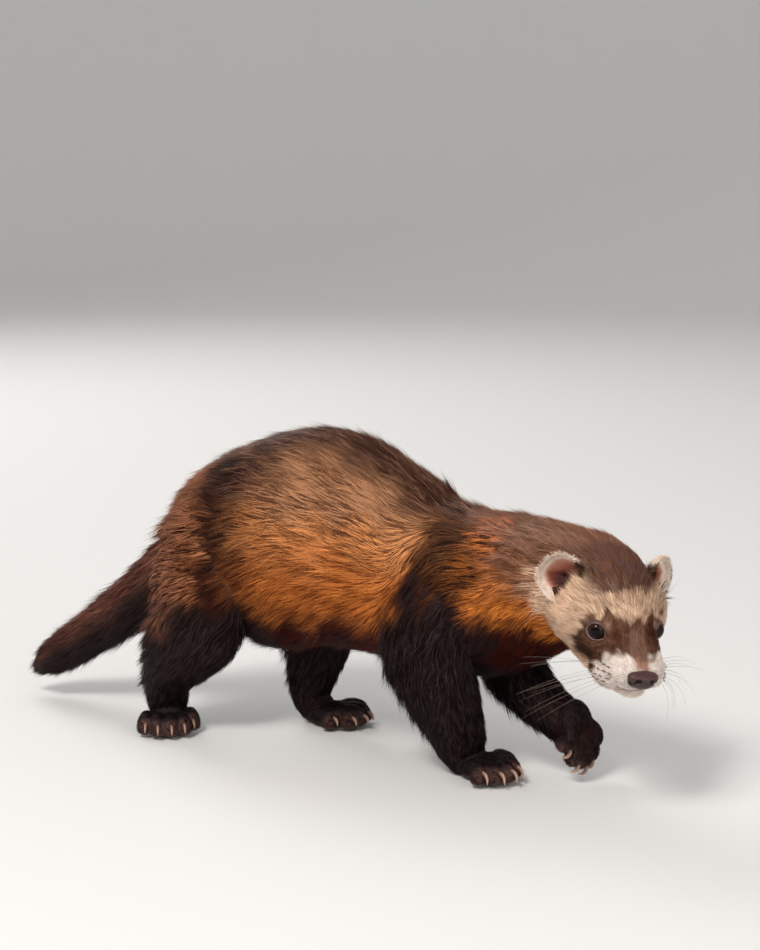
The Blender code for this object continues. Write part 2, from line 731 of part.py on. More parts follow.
def build_leg(flesh, name, leg):
    """Upper leg, lower leg, and the paw with its claws."""
    region = leg_region(leg)
    knee, ankle = leg["knee"], leg["ankle"]
    whole = copy_of(flesh, name + "_whole")
    boolean(whole, region(MARGIN), "INTERSECT")
    piece(whole, "upper_" + name, [region, before(*knee)], TRIANGLES["upper"], "dark_coat")
    piece(whole, "lower_" + name, [region, beyond(*knee), before(*ankle)], TRIANGLES["lower"], "dark_coat")
    floor = beyond((0, 0, -GAP / 2), (0, 0, 1))
    paw = piece(whole, "paw_" + name, [region, beyond(*ankle), floor], TRIANGLES["paw"], "dark_coat")
    for number, toe in enumerate(TOES, 1):
        boolean(paw, claw("room", leg, toe, grow=GAP), "DIFFERENCE")
        dress(claw(f"claw_{name}_{number}", leg, toe), "claw_horn")
    bpy.data.objects.remove(whole)


def main():
    """Builds the whole animal."""
    clear_scene()
    bpy.context.scene.collection.children.link(bpy.data.collections.new("ferret"))
    flesh = fuse("flesh", body_forms())
    for side in (-1, 1):
        place = on_head(EYE_PLACE, side) + head_way(EYE_LOOK, side) * (ORBIT_DEPTH + ORBIT_RADIUS)
        boolean(flesh, ellipsoid("orbit", place, [ORBIT_RADIUS] * 3), "DIFFERENCE")
    even_out(flesh, VOXEL, SMOOTHING)
    build_trunk(flesh)
    for name, leg in LEGS.items():
        build_leg(flesh, name, leg)
    bpy.data.objects.remove(flesh)
    for part in bpy.data.collections["ferret"].objects:
        part.location = -ORIGIN


main()
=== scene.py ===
"""The looks of a ferret, as a still, life-size model: skin, coat, eyes, nose, ears, claws and whiskers.

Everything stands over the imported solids, in their row frame: metres, +X the way the animal walks, +Z up.
The skin is remade from the same sections as the solids, smaller by the coat's depth, and the coat grows on
it.
"""

import logging
import math
from collections.abc import Callable
from dataclasses import dataclass, field
from enum import Enum

import bpy
import numpy as np
from mathutils import Matrix, Vector


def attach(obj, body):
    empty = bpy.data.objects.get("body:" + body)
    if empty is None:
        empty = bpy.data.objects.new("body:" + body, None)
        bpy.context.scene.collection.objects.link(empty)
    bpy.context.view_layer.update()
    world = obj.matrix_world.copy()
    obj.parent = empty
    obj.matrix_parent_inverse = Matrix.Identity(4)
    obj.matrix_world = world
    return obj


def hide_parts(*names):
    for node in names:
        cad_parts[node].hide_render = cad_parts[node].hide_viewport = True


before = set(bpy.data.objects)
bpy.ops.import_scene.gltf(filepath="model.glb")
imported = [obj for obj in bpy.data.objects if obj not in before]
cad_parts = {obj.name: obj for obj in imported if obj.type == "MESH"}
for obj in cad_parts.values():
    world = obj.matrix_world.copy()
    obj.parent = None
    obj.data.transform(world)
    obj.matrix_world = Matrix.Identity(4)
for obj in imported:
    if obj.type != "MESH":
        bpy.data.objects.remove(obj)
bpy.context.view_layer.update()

log = logging.getLogger("ferret")
logging.basicConfig(level=logging.INFO, format="%(message)s")

Array = np.ndarray
Piece = bpy.types.Object
Mesh = bpy.types.Mesh

MM = 0.001
SEED = 20
SIDES = {-1: "right", 1: "left"}
ORIGIN = np.array((0.07413, 0.00802, 0.0))  # of the row frame, in the frame that the sections are written in

# Head: a frame between the eyes, whose axes are forward, left and up
HEAD_PLACE = (0.222, -0.025, 0.0722)
HEAD_YAW = math.radians(-44)
HEAD_PITCH = math.radians(16)
HEAD_ROLL = math.radians(4.5)
NOSE_TIP = (0.0222, 0.0, -0.0085)
EYE_PLACE = (-0.0018, 0.0112, 0.0002)
EYE_TURN = math.radians(39)
ORBIT_RADIUS = 0.0068
ORBIT_DEPTH = 0.0014
# The line of the mouth, forward and to the side, and its heights
LIP_LINE = ((0.0205, 0.0), (0.0185, 0.0050), (0.013, 0.0092), (0.006, 0.0110), (-0.001, 0.0125))
LIP_HEIGHTS = (-0.0150, -0.0158, -0.0160, -0.0150, -0.0132)
# Rows of dashes on the muzzle: height at the nose's end, first and last place forward, fall backwards, in mm
MUZZLE_ROWS = (
    (-7.4, 7.0, 14.6, 0.10),
    (-9.6, 6.2, 15.6, 0.14),
    (-11.6, 6.6, 15.4, 0.18),
    (-13.4, 8.4, 14.4, 0.2),
)
# The pad of the upper lip: place and half sizes
LIP_PAD = ((0.0060, 0.0082, -0.0130), (0.0105, 0.0062, 0.0062))

# Sections: x, y, z, half width, half depth to the top or front, half depth to the other side
TRUNK = (
    (0.002, 0.021, 0.080, 0.021, 0.018, 0.020),
    (0.015, 0.0205, 0.085, 0.030, 0.029, 0.036),
    (0.036, 0.0203, 0.088, 0.0345, 0.0385, 0.051),
    (0.068, 0.0195, 0.089, 0.036, 0.0460, 0.050),
    (0.098, 0.0165, 0.082, 0.0335, 0.042, 0.0425),
    (0.124, 0.013, 0.0745, 0.031, 0.037, 0.037),
    (0.147, 0.0095, 0.0735, 0.029, 0.035, 0.035),
    (0.166, 0.0045, 0.0780, 0.0265, 0.031, 0.031),
    (0.184, -0.0015, 0.0820, 0.0245, 0.0255, 0.0265),
    (0.199, -0.0080, 0.0825, 0.0226, 0.0226, 0.0236),
    (0.210, -0.0150, 0.0810, 0.0195, 0.0195, 0.0205),
)
TAIL = (
    (0.004, 0.021, 0.078, 0.018, 0.018, 0.018),
    (-0.014, 0.021, 0.0618, 0.0150, 0.0158, 0.0145),
    (-0.034, 0.0213, 0.0462, 0.0128, 0.0136, 0.0124),
    (-0.055, 0.0217, 0.0322, 0.0112, 0.0120, 0.0112),
    (-0.0765, 0.0223, 0.0187, 0.0098, 0.0100, 0.0098),
    (-0.0845, 0.0225, 0.0136, 0.0048, 0.0048, 0.0046),
)
HIND_RIGHT = (
    (0.020, 0.004, 0.088, 0.016, 0.025, 0.022),
    (0.020, -0.003, 0.068, 0.0155, 0.024, 0.024),
    (0.017, -0.006, 0.051, 0.0135, 0.0250, 0.020),
    (0.009, -0.005, 0.036, 0.0115, 0.0185, 0.0172),
    (0.002, -0.002, 0.023, 0.0098, 0.0108, 0.0124),
    (-0.001, 0.000, 0.012, 0.0092, 0.0092, 0.0092),
    (0.001, -0.002, 0.007, 0.0080, 0.0080, 0.0075),
)
HIND_LEFT = (
    (0.026, 0.037, 0.088, 0.016, 0.025, 0.022),
    (0.033, 0.042, 0.068, 0.0155, 0.024, 0.025),
    (0.046, 0.0430, 0.050, 0.0130, 0.019, 0.021),
    (0.052, 0.0425, 0.037, 0.0115, 0.0150, 0.0200),
    (0.050, 0.0410, 0.025, 0.0102, 0.0120, 0.0140),
    (0.048, 0.0395, 0.013, 0.0090, 0.0095, 0.0090),
    (0.051, 0.0395, 0.007, 0.0085, 0.0085, 0.0080),
)
FORE_RIGHT = (
    (0.131, -0.004, 0.086, 0.012, 0.020, 0.020),
    (0.131, -0.010, 0.066, 0.0135, 0.022, 0.021),
    (0.133, -0.012, 0.049, 0.0130, 0.020, 0.020),
    (0.137, -0.0095, 0.034, 0.0115, 0.0172, 0.0170),
    (0.140, -0.0055, 0.022, 0.0105, 0.0140, 0.0135),
    (0.142, -0.0025, 0.012, 0.0100, 0.0115, 0.0110),
    (0.144, -0.0015, 0.007, 0.0085, 0.0090, 0.0090),
)
FORE_LEFT = (
    (0.136, 0.022, 0.076, 0.012, 0.018, 0.018),
    (0.143, 0.0225, 0.060, 0.0130, 0.017, 0.018),
    (0.151, 0.0215, 0.047, 0.0120, 0.0145, 0.0160),
    (0.161, 0.0185, 0.0365, 0.0108, 0.0120, 0.0130),
    (0.1715, 0.0150, 0.0290, 0.0098, 0.0102, 0.0112),
    (0.1815, 0.0125, 0.0235, 0.0090, 0.0090, 0.0098),
    (0.1880, 0.0112, 0.0175, 0.0084, 0.0078, 0.0088),
)
SKULL = (
    (-0.040, 0.0, 0.0015, 0.0215, 0.0205, 0.0220),
    (-0.029, 0.0, 0.0010, 0.0235, 0.0208, 0.0225),
    (-0.018, 0.0, 0.0000, 0.0240, 0.0195, 0.0200),
    (-0.010, 0.0, -0.0012, 0.0215, 0.0168, 0.0175),
    (-0.004, 0.0, -0.0025, 0.0174, 0.0140, 0.0155),
    (0.001, 0.0, -0.0040, 0.0142, 0.0116, 0.0140),
    (0.006, 0.0, -0.0060, 0.0126, 0.0090, 0.0118),
    (0.011, 0.0, -0.0080, 0.0124, 0.0070, 0.0098),
    (0.015, 0.0, -0.0090, 0.0114, 0.0056, 0.0083),
    (0.0178, 0.0, -0.0095, 0.0088, 0.0044, 0.0064),
    (0.0192, 0.0, -0.0095, 0.0060, 0.0034, 0.0046),
)
JAW = (
    (-0.020, 0.0, -0.0130, 0.0155, 0.0080, 0.0088),
    (-0.008, 0.0, -0.0146, 0.0138, 0.0060, 0.0074),
    (0.003, 0.0, -0.0160, 0.0106, 0.0045, 0.0056),
    (0.010, 0.0, -0.0172, 0.0078, 0.0034, 0.0042),
    (0.0140, 0.0, -0.0172, 0.0052, 0.0026, 0.0032),
)

# The coat at each of those sections: depth in mm, hair length in mm, lift in degrees, tufts per square mm,
# and a tuft's width in mm
TRUNK_COAT = (
    (2.9, 12.5, 12, 2.4, 0.31),
    (2.8, 12.5, 12, 2.6, 0.31),
    (2.7, 12.5, 11, 2.7, 0.31),
    (2.6, 12, 11, 2.7, 0.31),
    (2.6, 12, 11, 2.7, 0.31),
    (2.6, 11.5, 11, 2.8, 0.3),
    (2.4, 10.5, 11, 2.9, 0.3),
    (2.2, 9.5, 11, 3.2, 0.29),
    (2.0, 8.5, 12, 3.4, 0.28),
    (1.9, 8, 12, 3.7, 0.27),
    (1.8, 7.5, 13, 3.9, 0.26),
)
TAIL_COAT = (
    (2.8, 11.0, 14, 2.2, 0.36),
    (3.2, 12.0, 16, 2.4, 0.36),
    (3.4, 12.0, 17, 2.6, 0.36),
    (3.4, 11.0, 15, 2.8, 0.36),
    (3.0, 8.5, 12, 3.4, 0.34),
    (2.4, 6.0, 8, 4.6, 0.32),
)
LEG_COAT = (
    (2.6, 10.0, 12, 2.0, 0.36),
    (2.4, 9.0, 12, 2.1, 0.36),
    (2.0, 8.0, 12, 2.2, 0.36),
    (1.7, 6.5, 13, 2.4, 0.34),
    (1.3, 5.0, 13, 2.6, 0.33),
    (1.0, 4.0, 13, 3.0, 0.32),
    (0.8, 3.2, 13, 3.2, 0.31),
)
SKULL_COAT = (
    (1.8, 7, 12, 4.8, 0.25),
    (1.7, 6.2, 13, 5.3, 0.24),
    (1.6, 5.7, 13, 6.2, 0.22),
    (1.4, 5, 13, 7, 0.2),
    (1.1, 4.2, 13, 8.1, 0.19),
    (0.9, 3.6, 13, 9.2, 0.17),
    (0.8, 3.1, 13, 10.1, 0.16),
    (0.7, 2.8, 13, 10.6, 0.15),
    (0.6, 2.6, 13, 10.9, 0.14),
    (0.6, 2.4, 12, 11.2, 0.14),
    (0.6, 2.2, 12, 11.2, 0.14),
)
JAW_COAT = (
    (1.7, 6.5, 13, 4.4, 0.25),
    (1.4, 5, 13, 5.5, 0.22),
    (1.0, 3.9, 13, 7, 0.2),
    (0.8, 3.1, 13, 8.6, 0.17),
    (0.6, 2.4, 12, 9.6, 0.15),
)
PAW_COAT = (0.6, 2.1, 11, 5.0, 0.22)
LIP_COAT = 0.7 * MM  # depth of the coat over the pads of the upper lip

# Feet: each toe's reach ahead of the ankle and its place across the foot, from the outer one in
TOES = ((0.0180, -0.0104), (0.0225, -0.0056), (0.0236, 0.0000), (0.0212, 0.0055), (0.0145, 0.0098))
TOE_RADIUS = 0.0037
KNUCKLE_RADIUS = 0.0025
# Palm: its middle and half sizes. Claws: half widths from root to point
PALM_PLACE = (0.0055, 0.0, 0.0052)
PALM_SIZE = (0.0110, 0.0102, 0.0056)
CLAW_SIZES = (0.0012, 0.00105, 0.0008, 0.0003)


@dataclass(frozen=True)
class Foot:
    """Where a foot stands, in the sections' frame, its turns in degrees, and its side (1 left, -1 right)."""

    leg: str
    place: tuple
    yaw: float
    pitch: float
    side: int

    def turn(self) -> Array:
        """The foot's axes as the columns of a matrix: ahead, to the left, up."""
        yaw = Matrix.Rotation(math.radians(self.yaw), 3, "Z")
        return np.array(yaw @ Matrix.Rotation(math.radians(self.pitch), 3, "Y"))

    def placed(self, points: Array) -> Array:
        """Points of the foot's own frame (ahead, across to the inner side, up) in the row frame."""
        own = np.atleast_2d(points) * (1, -self.side, 1)
        return np.array(self.place) - ORIGIN + own @ self.turn().T


FEET = (
    Foot("hind_right", (-0.0018, 0.0006, 0.0), -52, 0, -1),
    Foot("hind_left", (0.0535, 0.0385, 0.0), -4, 0, 1),
    Foot("fore_right", (0.1472, -0.0024, 0.0), -20, 0, -1),
    Foot("fore_left", (0.1806, 0.0112, 0.0272), -6, 78, 1),
)


def linear(colour: str) -> Array:
    """Turns an sRGB hex colour into linear light.

    Args:
        colour: six hex digits after a hash.

    Returns:
        Red, green and blue: c / 12.92 up to 0.04045, and ((c + 0.055) / 1.055) ** 2.4 above.
    """
    parts = np.array([int(colour[k : k + 2], 16) for k in (1, 3, 5)]) / 255
    return np.where(parts <= 0.04045, parts / 12.92, ((parts + 0.055) / 1.055) ** 2.4)


def unit(vectors: Array) -> Array:
    """Vectors at length 1."""
    return vectors / np.maximum(np.linalg.norm(vectors, axis=-1, keepdims=True), 1e-12)


def dot(a: Array, b: Array) -> Array:
    """Row by row dot product."""
    return np.sum(a * b, axis=-1)


def laid(ways: Array, normals: Array) -> Array:
    """Directions laid flat on a surface, at length 1."""
    return unit(ways - dot(ways, normals)[:, None] * normals)


def bell(value: Array, middle: float, width: float) -> Array:
    """A bell curve: exp(-((value - middle) / width)²)."""
    return np.exp(-(((value - middle) / width) ** 2))


def step(low: float, high: float, value: Array) -> Array:
    """A smooth step, 3t² - 2t³, from 0 at low to 1 at high, or falling where high is below low."""
    t = np.clip((value - low) / (high - low), 0, 1)
    return t * t * (3 - 2 * t)


def waves(points: Array, length: float, seed: int, count: int = 7) -> Array:
    """Smooth noise of a real size: a sum of plane waves in random directions.

    Args:
        points: places in metres.
        length: mean wave length in metres.
        seed: picks the waves.
        count: how many waves are added.

    Returns:
        sum(sin(k . p + phase)) / sqrt(count / 2), about -1 to 1.
    """
    rng = np.random.default_rng(seed)
    way = unit(rng.normal(size=(count, 3)))
    number = 2 * np.pi / (length * rng.uniform(0.7, 1.4, count))
    phase = rng.uniform(0, 2 * np.pi, count)
    return np.sin((points @ way.T) * number + phase).sum(1) / math.sqrt(count / 2)


def smooth_curve(rows: Array, count: int) -> Array:
    """Rows along a smooth curve through the given ones, spread evenly by distance.

    Args:
        rows: the given rows, of which the first three columns are a place.
        count: how many rows are returned.

    Returns:
        Rows of a Catmull-Rom curve: each stretch is the cubic whose slope at a row is half the way between
        the rows beside it.
    """
    rows = np.asarray(rows, float)
    ends = np.vstack([2 * rows[0] - rows[1], rows, 2 * rows[-1] - rows[-2]])
    steps = np.linspace(0, len(rows) - 1, 12 * len(rows))
    first = np.minimum(steps.astype(int), len(rows) - 2)
    t = (steps - first)[:, None]
    a, b, c, d = (ends[first + k] for k in range(4))
    curve = 0.5 * (2 * b + (c - a) * t + (2 * a - 5 * b + 4 * c - d) * t**2 + (3 * b - a - 3 * c + d) * t**3)
    along = np.r_[0, np.cumsum(np.linalg.norm(np.diff(curve[:, :3], axis=0), axis=1))]
    even = np.linspace(0, along[-1], count)
    return np.stack([np.interp(even, along, column) for column in curve.T], axis=1)


class HeadFrame:
    """The head's own frame: forward, left and up from between the eyes."""

    def __init__(self) -> None:
        """Works the axes out from yaw, pitch and roll."""
        level = math.cos(HEAD_PITCH)
        forward = np.array((math.cos(HEAD_YAW) * level, math.sin(HEAD_YAW) * level, -math.sin(HEAD_PITCH)))
        level_left = np.array((-math.sin(HEAD_YAW), math.cos(HEAD_YAW), 0.0))
        left = math.cos(HEAD_ROLL) * level_left - math.sin(HEAD_ROLL) * np.cross(forward, level_left)
        self.axes = np.stack((forward, left, np.cross(forward, left)))
        self.place = np.array(HEAD_PLACE) - ORIGIN

    def out(self, points: Array, side: int = 1) -> Array:
        """Places of the head's frame, mirrored for side -1, in the row frame."""
        return self.place + (np.asarray(points, float) * (1, side, 1)) @ self.axes

    def way(self, direction: Array, side: int = 1) -> Array:
        """A direction of the head's frame in the row frame."""
        return unit((np.asarray(direction, float) * (1, side, 1)) @ self.axes)

    def own(self, points: Array) -> Array:
        """Places of the row frame in the head's frame."""
        return (points - self.place) @ self.axes.T


HEAD = HeadFrame()
EYE_LOOK = (math.cos(EYE_TURN), math.sin(EYE_TURN), 0.05)


@dataclass
class Shape:
    """Points and faces of a mesh."""

    points: Array
    quads: Array = field(default_factory=lambda: np.zeros((0, 4), int))
    tris: Array = field(default_factory=lambda: np.zeros((0, 3), int))

    @staticmethod
    def joined(shapes: list) -> "Shape":
        """Several shapes as one.

        Args:
            shapes: the shapes.

        Returns:
            All their points in order, with the faces' numbers moved on by the points before them.
        """
        starts = np.cumsum([0] + [len(s.points) for s in shapes[:-1]])
        return Shape(
            np.vstack([s.points for s in shapes]),
            np.vstack([s.quads + n for s, n in zip(shapes, starts, strict=True)]),
            np.vstack([s.tris + n for s, n in zip(shapes, starts, strict=True)]),
        )


def grid(points: Array, poles: tuple | None = None) -> Shape:
    """A closed surface from rings of points, each ring closed round.

    Args:
        points: rings by sides by 3, going round so that the faces look outwards.
        poles: the two points that close the ends, or None where the last ring meets the first.

    Returns:
        Quads between the rings and a fan of triangles at each pole.
    """
    rings, sides = points.shape[:2]
    index = np.arange(rings * sides).reshape(rings, sides)
    beside = np.roll(index, -1, axis=1)
    if poles is None:
        after = np.roll(index, -1, axis=0)
        quads = np.stack((index, beside, np.roll(after, -1, axis=1), after), -1).reshape(-1, 4)
        return Shape(points.reshape(-1, 3), quads)
    quads = np.stack((index[:-1], beside[:-1], beside[1:], index[1:]), -1).reshape(-1, 4)
    first, last = rings * sides, rings * sides + 1
    start = np.stack((beside[0], index[0], np.full(sides, first)), -1)
    finish = np.stack((index[-1], beside[-1], np.full(sides, last)), -1)
    return Shape(np.vstack((points.reshape(-1, 3), poles)), quads, np.vstack((start, finish)))


def outward(shape: Shape) -> Shape:
    """Turns a closed shape's faces outwards.

    Args:
        shape: a closed shape.

    Returns:
        The shape, its faces turned round where its volume, the sum of a . (b x c) over its triangles, is
        below 0.
    """
    tris = np.vstack((shape.tris, shape.quads[:, :3], shape.quads[:, (0, 2, 3)]))
    corner = shape.points[tris] - shape.points.mean(0)
    if dot(corner[:, 0], np.cross(corner[:, 1], corner[:, 2])).sum() < 0:
        return Shape(shape.points, shape.quads[:, ::-1], shape.tris[:, ::-1])
    return shape


def tube(rows: Array, up: Array, sides: int) -> Shape:
    """A closed form through oval sections square to its path, with a round cap at each end.

    Args:
        rows: centre, half width, half depth upwards and half depth downwards of each section.
        up: the way that the sections' upper side looks.
        sides: points round each section.

    Returns:
        Its surface: centre + cos(a) * width * across + sin(a) * depth * up, and caps that are oval balls.
    """
    centre, sizes = rows[:, :3], rows[:, 3:6]
    tangent = unit(np.gradient(centre, axis=0))
    angles = np.array((0.4, 0.8, 1.15, 1.4))[:, None]
    reach = 0.8 * sizes.mean(1)
    back, on = angles[::-1], angles
    places = np.vstack(
        (
            centre[0] - np.sin(back) * reach[0] * tangent[0],
            centre,
            centre[-1] + np.sin(on) * reach[-1] * tangent[-1],
        )
    )
    sizes = np.vstack((np.cos(back) * sizes[0], sizes, np.cos(on) * sizes[-1]))
    count = len(angles)
    ways = np.vstack((np.repeat(tangent[:1], count, 0), tangent, np.repeat(tangent[-1:], count, 0)))
    depth = unit(np.asarray(up, float) - (ways @ np.asarray(up, float))[:, None] * ways)
    across = np.cross(depth, ways)
    turn = np.linspace(0, 2 * math.pi, sides, endpoint=False)
    side, lift = np.cos(turn)[None, :, None], np.sin(turn)[None, :, None]
    tall = np.where(lift > 0, sizes[:, 1][:, None, None], sizes[:, 2][:, None, None])
    wide = sizes[:, 0][:, None, None]
    points = places[:, None] + side * wide * across[:, None] + lift * tall * depth[:, None]
    poles = (centre[0] - reach[0] * tangent[0], centre[-1] + reach[-1] * tangent[-1])
    return outward(grid(points, poles))


def ball(place: Array, size: tuple, turn: Array, rings: int = 15, sides: int = 24) -> Shape:
    """An oval ball.

    Args:
        place: its middle.
        size: its half sizes.
        turn: its axes as rows.
        rings: rings of points between the poles.
        sides: points round each ring.

    Returns:
        Its surface: (cos(h) cos(a), cos(h) sin(a), sin(h)) * size, turned, at the place.
    """
    height = np.linspace(-math.pi / 2, math.pi / 2, rings + 2)[1:-1]
    angle = np.linspace(0, 2 * math.pi, sides, endpoint=False)
    flat = np.cos(height)[:, None]
    own = np.stack(
        (flat * np.cos(angle), flat * np.sin(angle), np.repeat(np.sin(height)[:, None], sides, 1)), -1
    ) * np.asarray(size)
    poles = np.array(((0, 0, -size[2]), (0, 0, size[2])))
    return outward(grid(place + own @ turn, place + poles @ turn))


def mesh_object(
    name: str,
    shape: Shape,
    shade: Array | None = None,
    normals: Array | None = None,
    chart: Array | None = None,
) -> Piece:
    """A mesh object from arrays.

    Args:
        name: its name.
        shape: points and faces.
        shade: linear colour at each point, kept as the attribute "shade".
        normals: the direction in which each point is lit.
        chart: place of each point on the texture map OFBake.

    Returns:
        The object, in the scene, smooth shaded.
    """
    mesh = bpy.data.meshes.new(name)
    mesh.vertices.add(len(shape.points))
    mesh.vertices.foreach_set("co", shape.points.astype(np.float32).ravel())
    corners = np.concatenate((shape.quads.ravel(), shape.tris.ravel())).astype(np.int32)
    mesh.loops.add(len(corners))
    mesh.loops.foreach_set("vertex_index", corners)
    starts = np.concatenate(
        (np.arange(len(shape.quads)) * 4, 4 * len(shape.quads) + np.arange(len(shape.tris)) * 3)
    ).astype(np.int32)
    mesh.polygons.add(len(starts))
    mesh.polygons.foreach_set("loop_start", starts)
    mesh.update(calc_edges=True)
    mesh.shade_smooth()
    if shade is not None:
        set_shade(mesh, shade)
    if chart is not None:
        layer = mesh.uv_layers.new(name="OFBake")
        layer.uv.foreach_set("vector", chart[corners].astype(np.float32).ravel())
    if normals is not None:
        own = mesh.attributes.new("custom_normal", "FLOAT_VECTOR", "POINT")
        own.data.foreach_set("vector", normals.astype(np.float32).ravel())
    made = bpy.data.objects.new(name, mesh)
    bpy.context.scene.collection.objects.link(made)
    return made


def set_shade(mesh: Mesh, shade: Array) -> None:
    """Keeps a linear colour at each point of a mesh, as the attribute "shade".

    Args:
        mesh: the mesh.
        shade: red, green and blue of each point.
    """
    layer = mesh.attributes.new("shade", "FLOAT_COLOR", "POINT")
    full = np.ones((len(shade), 4), np.float32)
    full[:, :3] = shade
    layer.data.foreach_set("color", full.ravel())


def arrays_of(mesh: Mesh) -> tuple[Array, Array, Array]:
    """Reads a mesh.

    Args:
        mesh: the mesh.

    Returns:
        Its points, triangles and point normals.
    """
    points = np.empty(len(mesh.vertices) * 3, np.float32)
    mesh.vertices.foreach_get("co", points)
    mesh.calc_loop_triangles()
    tris = np.empty(len(mesh.loop_triangles) * 3, np.int32)
    mesh.loop_triangles.foreach_get("vertices", tris)
    normals = np.empty(len(mesh.vertices) * 3, np.float32)
    mesh.vertex_normals.foreach_get("vector", normals)
    return points.reshape(-1, 3).astype(float), tris.reshape(-1, 3), normals.reshape(-1, 3).astype(float)


def applied(obj: Piece) -> Piece:
    """Makes the evaluated shape the object's own mesh.

    Args:
        obj: an object with modifiers.

    Returns:
        The object, with its modifiers worked into its mesh.
    """
    bpy.context.view_layer.update()
    graph = bpy.context.evaluated_depsgraph_get()
    mesh = bpy.data.meshes.new_from_object(obj.evaluated_get(graph))
    obj.modifiers.clear()
    old = obj.data
    obj.data = mesh
    bpy.data.meshes.remove(old)
    return obj


class Kind(Enum):
    """What a length of the body is."""

    TRUNK = 0
    TAIL = 1
    HIND = 2
    FORE = 3
    PAW = 4
    HEAD = 5


@dataclass(frozen=True)
class Form:
    """One length of the body: its sections, and the coat at each of them."""

    kind: Kind
    rows: tuple
    coat: tuple
    up: tuple = (0.0, 0.0, 1.0)
    on_head: bool = False

    def curve(self, count: int) -> Array:
        """Runs a smooth curve through the form's sections.

        Args:
            count: how many places it has.

        Returns:
            Centre, half sizes and coat at each place, in the row frame, with lengths in metres.
        """
        rows = np.array(self.rows, float)
        rows[:, :3] = HEAD.out(rows[:, :3]) if self.on_head else rows[:, :3] - ORIGIN
        return smooth_curve(np.hstack((rows, np.array(self.coat) * (MM, MM, 1, 1, MM))), count)

    def upward(self) -> Array:
        """The way that the sections' upper side looks, in the row frame."""
        return HEAD.way(self.up) if self.on_head else np.array(self.up, float)


FORMS = (
    Form(Kind.TRUNK, TRUNK, TRUNK_COAT),
    Form(Kind.TAIL, TAIL, TAIL_COAT),
    Form(Kind.HIND, HIND_RIGHT, LEG_COAT, (1, 0, 0)),
    Form(Kind.HIND, HIND_LEFT, LEG_COAT, (1, 0, 0)),
    Form(Kind.FORE, FORE_RIGHT, LEG_COAT, (1, 0, 0)),
    Form(Kind.FORE, FORE_LEFT, LEG_COAT, (0.7, 0, 0.7)),
    Form(Kind.HEAD, SKULL, SKULL_COAT, on_head=True),
    Form(Kind.HEAD, JAW, JAW_COAT, on_head=True),
)


@dataclass
class Line:
    """A form's axis as arrays, to find places of the coat by."""

    kind: Kind
    centre: Array
    sizes: Array
    coat: Array
    tangent: Array
    up: Array
    along: Array


@dataclass
class Reading:
    """What the body is at some points: the part each kind has in it, and the coat and its lie there."""

    share: Array
    lie: Array
    coat: Array
    station: Array
    turn: Array
    line: Array
    height: Array
    axis_x: Array


